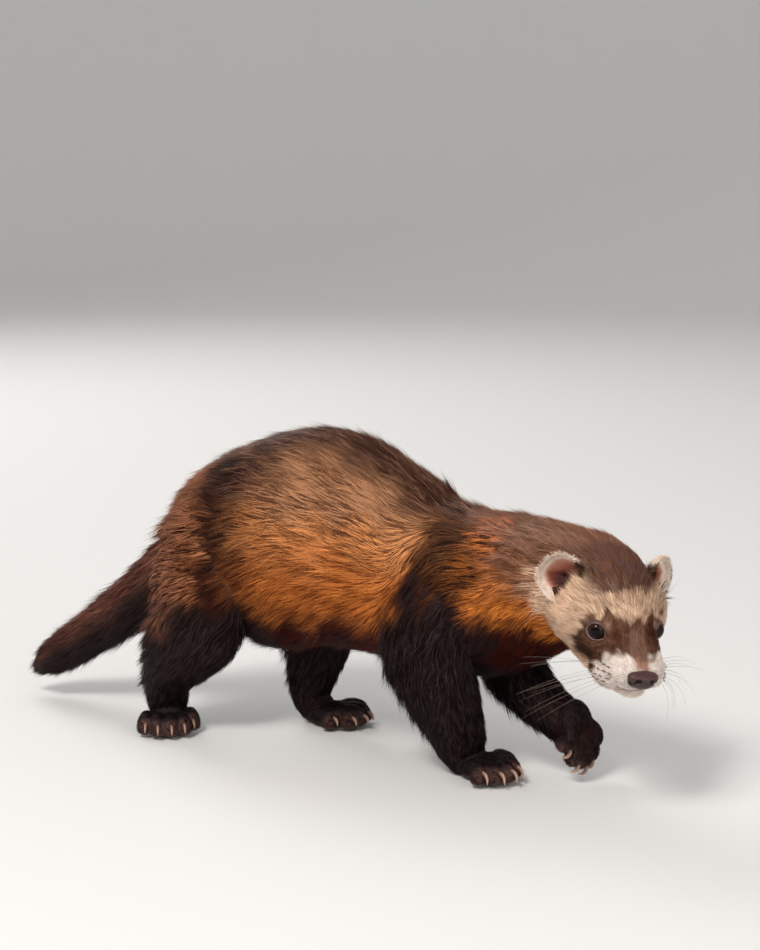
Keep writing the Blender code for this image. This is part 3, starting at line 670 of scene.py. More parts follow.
class Anatomy:
    """Knows, for any point near the skin, the part of the body it is on and the way the hair lies."""

    SAMPLES = 48
    SHARPNESS = 12.0  # how quickly one form gives way to its neighbour
    DROOP = math.radians(37)  # of the lie on the lower flank

    def __init__(self) -> None:
        """Finds the axis of every form and foot."""
        self.lines = [self._line(form.kind, form.curve(self.SAMPLES), form.upward()) for form in FORMS]
        self.lines += [self._paw_line(foot) for foot in FEET]

    @staticmethod
    def _line(kind: Kind, curve: Array, up: Array) -> Line:
        """An axis from rows of centre, half sizes and coat, and the way that its upper side looks.

        Args:
            kind: what the form is.
            curve: the rows.
            up: the way up.

        Returns:
            The axis, with its tangent, the way up square to it, and the distance along it.
        """
        centre = curve[:, :3]
        tangent = unit(np.gradient(centre, axis=0))
        square = unit(up - (tangent @ up)[:, None] * tangent)
        along = np.r_[0, np.cumsum(np.linalg.norm(np.diff(centre, axis=0), axis=1))]
        return Line(kind, centre, curve[:, 3:6], curve[:, 6:11], tangent, square, along)

    def _paw_line(self, foot: Foot) -> Line:
        """The axis of a foot, from behind the ankle to the toes.

        Args:
            foot: the foot.

        Returns:
            The axis.
        """
        coat = np.array(PAW_COAT) * (MM, MM, 1, 1, MM)
        middle = foot.placed(((-0.002, 0, 0.006), (0.008, 0, 0.006), (0.021, 0, 0.0045)))
        sizes = np.array(((0.009, 0.006, 0.006), (0.0115, 0.006, 0.006), (0.0115, 0.0045, 0.0045)))
        curve = smooth_curve(np.hstack((middle, sizes, np.repeat(coat[None], 3, 0))), self.SAMPLES)
        return self._line(Kind.PAW, curve, foot.turn()[:, 2])

    def read(self, points: Array) -> Reading:
        """Reads the body at some points.

        Args:
            points: places in the row frame.

        Returns:
            The reading. Each form weighs exp(-SHARPNESS * q), where q is the point's distance from the form's
            axis over the form's own half size in that direction.
        """
        count = len(points)
        weights = np.zeros((count, len(self.lines)))
        lies = np.zeros((len(self.lines), count, 3))
        coats = np.zeros((len(self.lines), count, 5))
        turns, stations, heights, axes = (np.zeros((count, len(self.lines))) for _ in range(4))
        for place, line in enumerate(self.lines):
            square = (points**2).sum(1)[:, None] + (line.centre**2).sum(1) - 2 * points @ line.centre.T
            near = square.argmin(1)
            away = points - line.centre[near]
            tangent, up = line.tangent[near], line.up[near]
            across = np.cross(up, tangent)
            sizes = line.sizes[near]
            x, y, z = dot(away, across), dot(away, up), dot(away, tangent)
            deep = np.where(y > 0, sizes[:, 1], sizes[:, 2])
            reach = np.sqrt((x / sizes[:, 0]) ** 2 + (y / deep) ** 2 + (z / sizes.mean(1)) ** 2)
            weights[:, place] = -self.SHARPNESS * reach
            turns[:, place] = np.arctan2(x, y)
            stations[:, place] = (line.along[near] + z) / line.along[-1]
            heights[:, place] = y / deep
            axes[:, place] = line.centre[near, 0] + z * tangent[:, 0]
            coats[place] = line.coat[near]
            lies[place] = self._lie(line.kind, points, tangent, y / deep)
        weights = np.exp(weights - weights.max(1, keepdims=True))
        weights /= weights.sum(1, keepdims=True)
        of_kind = [[line.kind is kind for line in self.lines] for kind in Kind]
        share = np.stack([weights[:, mine].sum(1) for mine in of_kind], axis=1)
        best = weights.argmax(1)
        pick = (np.arange(count), best)
        return Reading(
            share,
            unit(np.einsum("nl,lnk->nk", weights, lies)),
            np.einsum("nl,lnk->nk", weights, coats),
            stations[pick],
            turns[pick],
            best,
            heights[:, 0],
            axes[:, 0],
        )

    def _lie(self, kind: Kind, points: Array, tangent: Array, height: Array) -> Array:
        """The way the hair lies on one form.

        Args:
            kind: what the form is.
            points: places in the row frame.
            tangent: the way along the form's axis at each place.
            height: each place's height over the axis, in half depths.

        Returns:
            Backwards and drooping on the trunk, away from the nose on the head, swept back on the legs.
        """
        if kind is Kind.TRUNK:
            droop = self.DROOP * step(0.35, -0.5, height)[:, None]
            return -tangent * np.cos(droop) - np.array((0, 0, 1.0)) * np.sin(droop)
        if kind is Kind.HEAD:
            return unit(points - HEAD.out(NOSE_TIP))
        if kind is Kind.HIND:
            swept = step(0.052, 0.074, points[:, 2])[:, None]
            return unit(tangent * (1 - swept) + np.array((-0.3, 0, 0)) + np.array((-0.8, 0, -0.35)) * swept)
        if kind is Kind.FORE:
            return unit(tangent + np.array((-0.3, 0, 0)))
        return tangent


class Palette(Enum):
    """Colours of the coat and the bare skin, as sRGB hex. Some carry painted light or shade: sheen, rim
    light, highlights and shade in hollows.
    """

    CREAM = "#ED9E62"
    PALE = "#B4896C"
    STREAK = "#6E4630"
    BROWN = "#6A3F28"
    RIDGE = "#3C231C"
    SILVER = "#8A6450"
    RUST = "#833C16"
    TAN = "#D07835"
    BELLY = "#4A0F05"
    HAUNCH = "#3A1A13"
    RUMP_AND_RIM_LIGHT = "#B17350"
    CREST_AND_RIM_LIGHT = "#9A6650"
    LEG = "#120707"
    # painted sheen: the greyish-purple guard hair on the dark legs, feet and tail
    LEG_SHEEN = "#33292E"
    SADDLE = "#45291D"
    SHOULDER = "#241213"
    SHOULDER_SHEEN = "#2E2227"
    WITHERS = "#EC8848"
    NECK = "#9C6F59"
    LOW_NECK = "#E08537"
    TAIL_TOP_AND_RIM_LIGHT = "#7D5146"
    TAIL_END_AND_SHADE = "#1A0C09"
    CROWN = "#6A4E4A"
    CROWN_SIDE = "#8A6551"
    FACE = "#EAC7AC"
    CHEEK = "#E4BC9C"
    MUZZLE = "#FFF1EA"
    MASK = "#75503F"
    MASK_SIDE = "#62472F"
    MASK_LOW = "#3A1E14"
    MASK_DARK = "#4E2A1F"
    BRIDGE = "#846557"
    SPOT = "#CFA08E"
    NOSE_TOP = "#B98573"
    DASH = "#54403A"
    LIP = "#3A2320"
    TOE_TIP_AND_HIGHLIGHT = "#5E4440"
    PAD = "#54342C"
    EAR_RIM = "#FFEBDB"
    EAR_PINK = "#C58B74"
    EAR_MID = "#7C3A2A"
    EAR_DEEP_SHADE = "#3A1410"
    EAR_DARK = "#3B2418"
    NOSE = "#331616"
    NOSE_LIT_TOP = "#472828"
    NOSTRIL_SHADE = "#180A09"
    PUPIL = "#040303"
    IRIS = "#2E1711"
    LIMBUS = "#080505"
    LID = "#937872"
    LID_FOLD = "#5A3B33"
    HORN = "#B8937F"
    HORN_ROOT = "#5A3A32"
    WHISKER = "#8F7E72"
    FLOOR = "#E4E5E6"

    @property
    def light(self) -> Array:
        """The colour in linear light."""
        return linear(self.value)


def plain(colour: Palette, count: int) -> Array:
    """A colour of the palette at each of some points."""
    return np.repeat(colour.light[None], count, 0)


def over(shade: Array, colour: Palette, mask: Array) -> Array:
    """A shade with a colour of the palette blended over it, as far as the mask says."""
    return shade * (1 - mask[:, None]) + colour.light * mask[:, None]


@dataclass
class Coloured:
    """Colours of the coat at some points: the hair, the darker guard hair, and how much of it there is."""

    hair: Array
    guard: Array
    share: Array

    @staticmethod
    def plain(count: int, hair: Palette, guard: Palette) -> "Coloured":
        """The same colours at each of some points, with 30 % of guard hair."""
        return Coloured(plain(hair, count), plain(guard, count), np.full(count, 0.30))

    def lay(self, mask: Array, hair: Palette, guard: Palette, share: float) -> None:
        """Blends another colouring over the present one.

        Args:
            mask: how much of the new one there is at each point.
            hair: its hair.
            guard: its darker guard hair.
            share: its share of guard hair.
        """
        veil = np.clip(mask, 0, 1)[:, None]
        self.hair = self.hair * (1 - veil) + hair.light * veil
        self.guard = self.guard * (1 - veil) + guard.light * veil
        self.share = self.share * (1 - veil[:, 0]) + share * veil[:, 0]


class Markings:
    """The animal's colours, by formulas on the row frame and the head's frame."""

    def at(self, points: Array, read: Reading) -> Coloured:
        """Colours at some points.

        Args:
            points: places in the row frame.
            read: the reading there.

        Returns:
            Layers laid one over the other, each by a product of smooth steps of place, with edges moved by
            noise of 16 mm and 5 mm.
        """
        part = {kind: read.share[:, kind.value] for kind in Kind}
        wander = 3.0 * waves(points, 0.016, 11) + 1.4 * waves(points, 0.005, 12)
        rise = 2.6 * waves(points, 0.018, 13) + 1.4 * waves(points, 0.006, 14)
        x = points[:, 0] / MM + wander
        z = points[:, 2] / MM + rise
        made = Coloured.plain(len(points), Palette.CREAM, Palette.STREAK)
        self._trunk(made, x, read.axis_x / MM + wander, z)
        spine = part[Kind.TRUNK] * step(0.52, 0.16, np.abs(read.turn) + 0.06 * waves(points, 0.007, 19))
        made.lay(0.85 * spine * step(100, 90, x), Palette.RIDGE, Palette.SILVER, 0.14)
        around = np.stack((0.15 * read.axis_x, 0.036 * read.turn, np.zeros(len(points))), 1)
        streaks = part[Kind.TRUNK] * (0.75 * waves(around, 0.0034, 17) + 0.45 * waves(around, 0.0015, 18))
        made.share = np.clip(made.share * (1 + streaks * (0.5 + 0.7 * step(88, 106, z))), 0, 1)
        self._limbs(made, z, points, read, part)
        self._head(made, points)
        return made

    def _trunk(self, made: Coloured, x: Array, axis: Array, z: Array) -> None:
        """Lays flank, back, belly, haunch, shoulder and neck.

        Args:
            made: the colours to lay on.
            x: place ahead, in mm of the row frame, moved by noise.
            axis: the same of the nearest place of the spine.
            z: height in mm, moved by noise.
        """
        made.lay(step(94, 108, z) * 0.7, Palette.PALE, Palette.STREAK, 0.34)
        made.lay(step(98, 70, z), Palette.TAN, Palette.RUST, 0.25)
        made.lay(step(-12, -34, x) * 0.7, Palette.BROWN, Palette.HAUNCH, 0.35)
        back = np.interp(
            x,
            (-75, -40, -24, -11, -2, 10, 24, 34, 46, 53, 80),
            (92, 106, 114, 122, 129, 129, 121, 115, 108, 104, 98),
        )
        made.lay(step(-10, 7, z - back), Palette.RIDGE, Palette.SILVER, 0.14)
        made.lay(step(63, 52, z), Palette.BELLY, Palette.LEG, 0.3)
        # the rump: its own pinkish brown, painted lighter as rim light from behind
        made.lay(step(-48, -58, x), Palette.RUMP_AND_RIM_LIGHT, Palette.HAUNCH, 0.34)
        made.lay(1.1 * bell(x, -44, 8), Palette.HAUNCH, Palette.LEG, 0.35)
        # the top of the rump: partly its own colour, partly painted rim light
        crest = np.interp(x, (-75, -64, -62, -49, -37, -28), (88, 97, 104, 117, 125, 131))
        made.lay(step(-5, 4, z - crest) * step(-18, -42, x) * 0.8, Palette.CREST_AND_RIM_LIGHT, Palette.RUMP_AND_RIM_LIGHT, 0.3)
        made.lay(step(-16, -28, x) * step(63, 54, z), Palette.LEG, Palette.LEG_SHEEN, 0.3)
        rear = np.interp(z, (40, 59, 69, 81, 95, 104), (42, 44.5, 46.5, 49.5, 53, 58))
        front = np.interp(z, (70, 87, 97, 106), (86, 91, 87, 68))
        between = step(-5, 5, x - rear) * step(5, -5, axis - front)
        made.lay(0.9 * between * step(112, 98, z), Palette.SADDLE, Palette.LEG, 0.35)
        made.lay(0.8 * bell(axis, 80, 6) * bell(z, 86, 8), Palette.TAN, Palette.HAUNCH, 0.3)
        made.lay(bell(axis, 55, 9) * bell(z, 110, 6), Palette.SADDLE, Palette.LEG, 0.3)
        ahead = step(-4, 5, axis - front)
        made.lay(ahead, Palette.WITHERS, Palette.HAUNCH, 0.35)
        made.lay(ahead * step(90, 101, axis), Palette.NECK, Palette.STREAK, 0.4)
        made.lay(ahead * step(92, 74, z), Palette.LOW_NECK, Palette.RUST, 0.22)
        dark = np.interp(axis, (46, 66, 77, 87, 94.5, 99), (80, 76, 73, 70, 62, 45))
        # the shoulder: black-brown, with bluish guard hair as painted sheen
        made.lay(step(-5, 4, x - rear) * step(6, -6, z - dark), Palette.SHOULDER, Palette.SHOULDER_SHEEN, 0.35)
        made.lay(ahead * step(71, 59, z), Palette.BELLY, Palette.LEG, 0.3)

    @staticmethod
    def _limbs(made: Coloured, z: Array, points: Array, read: Reading, part: dict) -> None:
        """Lays legs, feet and tail.

        Args:
            made: the colours to lay on.
            z: height in mm, moved by noise.
            points: places in the row frame.
            read: the reading there.
            part: the share of each kind there.
        """
        # the legs: black, with greyish-purple guard hair as painted sheen
        made.lay(part[Kind.HIND] * step(66, 55, z), Palette.LEG, Palette.LEG_SHEEN, 0.3)
        made.lay(part[Kind.FORE] * step(76, 66, z), Palette.LEG, Palette.LEG_SHEEN, 0.3)
        made.lay(part[Kind.PAW], Palette.LEG, Palette.LEG_SHEEN, 0.2)
        # toe tips painted lighter: partly bare skin through thin fur, partly painted highlight
        for foot in FEET:
            tips = foot.placed([(reach - 0.001, 1.03 * across, 0.004) for reach, across in TOES])
            away = np.linalg.norm(points[:, None] - tips[None], axis=2).min(1) / MM
            made.lay(step(6.0, 3.6, away), Palette.TOE_TIP_AND_HIGHLIGHT, Palette.LEG, 0.3)
        # the back of the thigh: partly its own pinkish brown, partly painted rim light
        back_edge_and_rim_light = step(-57, -67, points[:, 0] / MM) * step(40, 58, z)
        made.lay((1 - part[Kind.TAIL]) * back_edge_and_rim_light * 0.7, Palette.CREST_AND_RIM_LIGHT, Palette.HAUNCH, 0.4)
        tail = part[Kind.TAIL]
        # the tail's brown, partly painted rim light on its top
        made.lay(tail, Palette.TAIL_TOP_AND_RIM_LIGHT, Palette.HAUNCH, 0.35)
        upper = np.cos(read.turn)
        # painted shade: the underside is painted dark; the end is darker in its own colour
        made.lay(tail * step(0.45, -0.3, upper), Palette.TAIL_END_AND_SHADE, Palette.LEG_SHEEN, 0.3)
        made.lay(tail * step(0.6, 1.0, read.station) * 0.6, Palette.TAIL_END_AND_SHADE, Palette.LEG_SHEEN, 0.3)

    def _head(self, made: Coloured, points: Array) -> None:
        """Lays crown, cream band, ears' locks, mask, muzzle and chin, in mm of the head's frame.

        Args:
            made: the colours to lay on.
            points: places in the row frame.
        """
        f, side, u = (HEAD.own(points) / MM).T
        part = step(56, 48, np.linalg.norm((f, side, u), axis=0))
        f = f + 0.7 * waves(points, 0.004, 15)
        u = u + 0.6 * waves(points, 0.005, 16)
        across = np.abs(side)
        behind = np.interp(u, (-24, -14, -9, -4, 2, 11), (-12, -20, -25, -31, -35, -38))
        head = part * step(-3, 3, f - behind)
        made.lay(head, Palette.CHEEK, Palette.NECK, 0.2)
        made.lay(head * step(-34, -18, f), Palette.FACE, Palette.CHEEK, 0.3)
        made.lay(head * step(2, 8, u) * step(-16, -8, f) * 0.6, Palette.FACE, Palette.CROWN_SIDE, 0.45)
        edge = np.interp(across, (0, 6, 10, 13, 14.5, 17), (-5.8, -5.9, -7.1, -10.5, -13.8, -20))
        crown = part * step(-2.2, 2.0, edge - f) * step(8, 13, u)
        made.lay(crown, Palette.CROWN, Palette.STREAK, 0.35)
        made.lay(crown * step(9.5, 13, across) * step(-26, -21, f), Palette.CROWN_SIDE, Palette.CROWN, 0.3)
        made.lay(crown * step(-24, -36, f), Palette.NECK, Palette.STREAK, 0.35)
        for way in SIDES:
            ear = Ear.of(way)
            lock = bell(ear.own(points) / MM * (1, -way, 1), (2.0, 10.6, 1.0), (4.2, 3.4, 3.2)).prod(1)
            made.lay(part * np.clip(1.6 * lock, 0, 1), Palette.EAR_DARK, Palette.MASK, 0.3)
        self._mask(made, f, u, across, part * step(-30, -24, f))
        self._muzzle(made, f, u, across, part)

    @staticmethod
    def _mask(made: Coloured, f: Array, u: Array, across: Array, head: Array) -> None:
        """Lays the dark mask round the eyes and down the bridge of the nose.

        Args:
            made: the colours to lay on.
            f: place forward in mm.
            u: height in mm.
            across: distance from the head's middle plane in mm.
            head: 1 on the head.
        """
        above = np.interp(
            across,
            (0, 4.5, 6.5, 7.3, 8.6, 10, 12.7, 14.5, 16.2, 17.5),
            (3.7, 3.6, 2.2, 1, -0.8, -1.2, -1.7, -3.6, -4.5, -4.7),
        )
        beside = np.interp(u, (-20, -9, -4.3, -0.9, 2.6, 7), (-13, -8.7, -6.5, -4.9, -4.7, 4))
        mask = head * step(-0.9, 0.9, f - np.minimum(above, np.where(u > 2.6, above, beside)))
        made.lay(mask, Palette.MASK, Palette.MASK_LOW, 0.3)
        olive = step(-2.5, -5, f) * step(-12, -7, u)
        made.lay(mask * olive, Palette.MASK_SIDE, Palette.MASK_LOW, 0.3)
        low = bell(f, -2.5, 5.5) * bell(u, -11, 4.2) * step(8, 11, across)
        made.lay(mask * low * 1.1, Palette.MASK_LOW, Palette.LIP, 0.3)
        brow = bell(f, 0.6, 1.6) * step(4, 6.5, u) * step(5.5, 8, across)
        made.lay(mask * brow * 0.8, Palette.MASK_SIDE, Palette.MASK_LOW, 0.3)
        made.lay(mask * bell(f, 7, 3.6) * bell(across, 7.4, 1.7), Palette.MASK_DARK, Palette.MASK_LOW, 0.3)
        made.lay(mask * step(4.6, 2.6, across) * step(5, 9, f), Palette.BRIDGE, Palette.MASK, 0.3)
        spot = bell(f, 3.0, 2.2) * bell(across, 9.8, 1.1) * bell(u, 4.3, 2.4)
        made.lay(mask * spot, Palette.SPOT, Palette.BRIDGE, 0.15)

    @staticmethod
    def _muzzle(made: Coloured, f: Array, u: Array, across: Array, head: Array) -> None:
        """Lays the white muzzle, the pinkish skin over the nose, and the chin.

        Args:
            made: the colours to lay on.
            f: place forward in mm.
            u: height in mm.
            across: distance from the head's middle plane in mm.
            head: 1 on the head.
        """
        edge = np.interp(
            across,
            (0, 0.7, 2.1, 3.5, 4.8, 6.2, 7.9, 9.4, 11.1, 11.7, 12.3),
            (18.8, 17.2, 16.2, 14.9, 13.8, 13.5, 12.0, 10.6, 10.0, 8.0, 5.7),
        )
        white = head * step(-0.9, 0.9, f - np.where(u < -9, np.minimum(edge, 5.8), edge))
        made.lay(white, Palette.MUZZLE, Palette.FACE, 0.08)
        over_nose = step(3.2, 1.6, across) * step(14.2, 16.2, f) * step(-8, -6, u)
        made.lay(head * over_nose, Palette.NOSE_TOP, Palette.SPOT, 0.2)
        made.lay(head * step(-14.6, -16.0, u) * step(-5, 0, f), Palette.MUZZLE, Palette.FACE, 0.2)
        jaw = head * step(-12.5, -16.5, u) * step(2, -3, f) * step(-24, -18, f)
        made.lay(jaw, Palette.CHEEK, Palette.FACE, 0.4)


MARKINGS = Markings()


def add_node(tree: bpy.types.NodeTree, kind: str, inputs: dict | None = None, **settings) -> bpy.types.Node:
    """Adds one shader node.

    Args:
        tree: the material's or the world's nodes.
        kind: the node's type.
        inputs: for each input, a value or the output socket that feeds it.
        settings: the node's own properties.

    Returns:
        The node.
    """
    node = tree.nodes.new(kind)
    for name, value in settings.items():
        setattr(node, name, value)
    for name, value in (inputs or {}).items():
        if isinstance(value, bpy.types.NodeSocket):
            tree.links.new(value, node.inputs[name])
        else:
            node.inputs[name].default_value = value
    return node


class Grain(Enum):
    """Fine relief of a surface."""

    NONE = "none"
    HIDE = "hide"
    PEBBLES = "pebbles"
    HORN = "horn"


@dataclass(frozen=True)
class Finish:
    """How a surface takes the light: hair, bare skin, horn or the wet eye, with its fine relief in metres."""

    name: str
    roughness: float
    specular: float = 0.5
    grain: Grain = Grain.NONE
    grain_size: float = 0.001
    grain_height: float = 0.0
    ior: float = 1.5
    tint: tuple = (1.0, 1.0, 1.0, 1.0)

    def material(self) -> bpy.types.Material:
        """Makes the material, once.

        Returns:
            The material. Its colour is the attribute "shade", and its relief a pattern over Object
            coordinates.
        """
        found = bpy.data.materials.get(self.name)
        if found:
            return found
        made = bpy.data.materials.new(self.name)
        made.use_nodes = True
        tree = made.node_tree
        shader = tree.nodes["Principled BSDF"]
        shader.inputs["Roughness"].default_value = self.roughness
        shader.inputs["Specular IOR Level"].default_value = self.specular
        shader.inputs["Specular Tint"].default_value = self.tint
        shader.inputs["IOR"].default_value = self.ior
        colour = add_node(tree, "ShaderNodeAttribute", attribute_name="shade")
        tree.links.new(colour.outputs["Color"], shader.inputs["Base Color"])
        if self.grain is not Grain.NONE:
            place = add_node(tree, "ShaderNodeTexCoord").outputs["Object"]
            if self.grain is Grain.PEBBLES:
                pattern = add_node(
                    tree, "ShaderNodeTexVoronoi", {"Vector": place, "Scale": 1 / self.grain_size}
                ).outputs["Distance"]
            else:
                pattern = add_node(
                    tree, "ShaderNodeTexNoise", {"Vector": place, "Scale": 1 / self.grain_size, "Detail": 3.0}
                ).outputs["Fac"]
            bump = add_node(
                tree, "ShaderNodeBump", {"Height": pattern, "Distance": self.grain_height, "Strength": 1.0}
            )
            tree.links.new(bump.outputs["Normal"], shader.inputs["Normal"])
        return made


# Hair: half gloss, its streaks are the tufts themselves. Bare skin: fine noise of 0.5 mm. Nose: cells of
# 0.5 mm.
HAIR = Finish("hair", 0.5, specular=0.12, tint=(1.0, 0.66, 0.5, 1.0))
SKIN = Finish("skin", 0.75, specular=0.3, grain=Grain.HIDE, grain_size=0.0005, grain_height=0.0001)
LID_SKIN = Finish("lid skin", 0.42, grain=Grain.HIDE, grain_size=0.0004, grain_height=0.00005)
NOSE_SKIN = Finish("nose skin", 0.36, grain=Grain.PEBBLES, grain_size=0.00055, grain_height=0.00012)
EAR_SKIN = Finish("ear skin", 0.6, specular=0.35, grain=Grain.HIDE, grain_size=0.0006, grain_height=0.00006)
EYE_WET = Finish("wet eye", 0.04, specular=0.24, ior=1.38)
HORN = Finish("claw horn", 0.35, grain=Grain.HORN, grain_size=0.0004, grain_height=0.00002)
WHISKER = Finish("whisker hair", 0.4)


def dress(piece: Piece, finish: Finish, nodes: list) -> Piece:
    """Gives a piece its material, body and the solids it stands for.

    Args:
        piece: the piece.
        finish: its surface.
        nodes: names of the solids.

    Returns:
        The piece.
    """
    piece.data.materials.clear()
    piece.data.materials.append(finish.material())
    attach(piece, "root")
    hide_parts(*nodes)
    log.info("%s: %d points, %d faces", piece.name, len(piece.data.vertices), len(piece.data.polygons))
    return piece


LEG_NAMES = tuple(foot.leg for foot in FEET)
TRUNK_NODES = ["neck", "chest", "loin", "rump"]
TAIL_NODES = ["tail_base", "tail_mid", "tail_tip"]
LEG_NODES = [f"{part}_{leg}" for part in ("upper", "lower") for leg in LEG_NAMES]
PAW_NODES = [f"paw_{leg}" for leg in LEG_NAMES]


@dataclass
class Skin:
    """The one skin of body, head and feet, inside the solids by the coat's depth."""

    voxel: float = 0.00075
    smoothing: int = 6
    faces: int = 180000
    head_reach: float = 0.04  # distance from the head's middle that keeps all its faces
    lip_depth: float = 0.0008
    lip_width: float = 0.0005
    shadow: float = 0.55  # how much darker the skin is painted under the coat, as painted shade
    rings: int = 44
    sides: int = 40
    toe_rings: int = 12
    toe_sides: int = 16

    def build(self, anatomy: Anatomy) -> Piece:
        """Joins the forms, evens them out and works the folds in.

        Args:
            anatomy: reads the body.

        Returns:
            The skin's object.
        """
        made = mesh_object("skin", Shape.joined(self._body() + self._feet()))
        remesh = made.modifiers.new("remesh", "REMESH")
        remesh.mode = "VOXEL"
        remesh.voxel_size = self.voxel
        applied(made)
        self._work(made.data, self._orbits, self._ears)
        soft = made.modifiers.new("soft", "SMOOTH")
        soft.factor = 0.5
        soft.iterations = self.smoothing
        applied(made)
        self._work(made.data, self._lips)
        self._thin_body(made)
        self._work(made.data, self._soles)
        made.data.shade_smooth()
        points, _, normals = arrays_of(made.data)
        set_shade(made.data, self._shade(points, normals, anatomy.read(points)))
        nodes = TRUNK_NODES + TAIL_NODES + LEG_NODES + PAW_NODES + ["head"]
        return dress(made, SKIN, nodes)

    def _body(self) -> list:
        """Trunk, tail, legs, head and the pads of the upper lip, less the coat.

        Returns:
            Their shapes.
        """
        shapes = []
        for form in FORMS:
            rows = form.curve(self.rings)
            rows[:, 3:6] -= rows[:, 6:7]
            shapes.append(tube(rows, form.upward(), self.sides))
        for side in SIDES:
            shapes.append(ball(HEAD.out(LIP_PAD[0], side), np.array(LIP_PAD[1]) - LIP_COAT, HEAD.axes))
        return shapes

    def _feet(self) -> list:
        """Palm and toes of each foot, less the coat.

        Returns:
            Their shapes: an oval ball, and tubes from the palm over the knuckles to the toes' ends.
        """
        shapes = []
        thin = PAW_COAT[0] * MM
        for foot in FEET:
            turn = foot.turn()
            palm = foot.placed(PALM_PLACE)[0]
            shapes.append(ball(palm, np.array(PALM_SIZE) - (thin, thin, thin / 2), turn.T))
            for reach, across in TOES:
                rows = np.array(
                    (
                        (0.004, 0.60 * across, 0.0058, KNUCKLE_RADIUS),
                        (reach - 0.0092, 0.92 * across, 0.0084, KNUCKLE_RADIUS),
                        (reach - 0.0044, 1.02 * across, 0.0068, TOE_RADIUS),
                        (reach - 0.0036, 1.04 * across, 0.0034, TOE_RADIUS),
                    )
                )
                size = (rows[:, 3:4] - thin) * np.ones(3)
                path = smooth_curve(np.hstack((foot.placed(rows[:, :3]), size)), self.toe_rings)
                shapes.append(tube(path, turn[:, 1], self.toe_sides))
        return shapes

    @staticmethod
    def _work(mesh: Mesh, *works: Callable) -> None:
        """Moves a mesh's points.

        Args:
            mesh: the mesh.
            works: functions of its points and normals, each of which returns the points in their new places.
        """
        for work in works:
            points, _, normals = arrays_of(mesh)
            mesh.vertices.foreach_set("co", work(points, normals).astype(np.float32).ravel())
            mesh.update()

    @staticmethod
    def _orbits(points: Array, _: Array) -> Array:
        """Moves points inside the ball of each orbit out to its surface.

        Args:
            points: the skin's points.

        Returns:
            Their new places.
        """
        for side in SIDES:
            look, _, eye = sight(side)
            centre = eye + look * (ORBIT_DEPTH + ORBIT_RADIUS)
            away = points - centre
            inside = np.linalg.norm(away, axis=1) < ORBIT_RADIUS
            points[inside] = centre + unit(away[inside]) * ORBIT_RADIUS
        return points

    @staticmethod
    def _ears(points: Array, _: Array) -> Array:
        """Hollows the head inside each ear's cup with an oval ball, so that the cup's floor shows.

        Args:
            points: the skin's points.

        Returns:
            Their new places.
        """
        for side in SIDES:
            ear = Ear.of(side)
            own = (ear.own(points) - (ear.bowl_ahead, 0, 0)) / np.array(ear.bowl)
            placed = (unit(own) * np.array(ear.bowl) + (ear.bowl_ahead, 0, 0)) @ ear.frame() + ear.centre()
            share = (np.linalg.norm(own, axis=1) < 1) * step(-1.2, 1.4, ear.over_edge(points))
            points = points + (placed - points) * share[:, None]
        return points

    def _lips(self, points: Array, normals: Array) -> Array:
        """Sinks the line of the mouth: depth * exp(-(height over the line / width)²) along the normal."""
        return points - normals * (self.lip_depth * mouth(points, self.lip_width))[:, None]

    @staticmethod
    def _soles(points: Array, _: Array) -> Array:
        """Presses the feet flat where they stand on the floor."""
        return np.maximum(points, (-np.inf, -np.inf, 0.0))

    def _thin_body(self, made: Piece) -> None:
        """Takes faces out of the body, which the coat covers, and none out of the head.

        Args:
            made: the skin.
        """
        points, _, _ = arrays_of(made.data)
        body = np.flatnonzero(np.linalg.norm(points - HEAD.place, axis=1) > self.head_reach)
        made.vertex_groups.new(name="body").add(body.tolist(), 1.0, "REPLACE")
        total = len(made.data.polygons) * 2
        if total > self.faces:
            fewer = made.modifiers.new("fewer", "DECIMATE")
            fewer.ratio = self.faces / total
            fewer.vertex_group = "body"
            applied(made)
        made.vertex_groups.clear()

    def _shade(self, points: Array, normals: Array, read: Reading) -> Array:
        """The coat's markings, darkened as painted shade under the coat, and bare lips, ears' floors painted
        dark as shade, the skin at the nose painted near black as shade, and pads.

        Args:
            points: the skin's points.
            normals: their normals.
            read: the reading there.

        Returns:
            A linear colour for each point.
        """
        colours = MARKINGS.at(points, read)
        # painted shade: the skin under the coat is painted darker than the hair
        shade = self.shadow * (0.75 * colours.hair + 0.25 * colours.guard)
        shade = over(shade, Palette.LIP, mouth(points, 1.3 * self.lip_width))
        for side in SIDES:
            ear = Ear.of(side)
            own = ear.own(points) / np.array(ear.size)
            cup = step(1.05, 0.97, np.hypot(own[:, 1], own[:, 2])) * (np.abs(own[:, 0]) < 1.6)
            # painted shade: the head's skin in each ear's hollow is painted dark red
            shade = over(shade, Palette.EAR_DEEP_SHADE, cup * step(-1.2, 0.6, ear.over_edge(points)))
        # painted shade: the skin round and behind the nose pad is painted near black, as the nostrils' shade
        shade = over(shade, Palette.NOSTRIL_SHADE, step(1.10, 1.02, Nose.reach(points)))
        return over(shade, Palette.PAD, sole_share(points, normals, read))


def sight(side: int) -> tuple[Array, Array, Array]:
    """An eye's line of sight, the way up square to it, and the ball's middle."""
    look = HEAD.way(EYE_LOOK, side)
    return look, unit(HEAD.axes[2] - dot(HEAD.axes[2], look) * look), HEAD.out(EYE_PLACE, side)


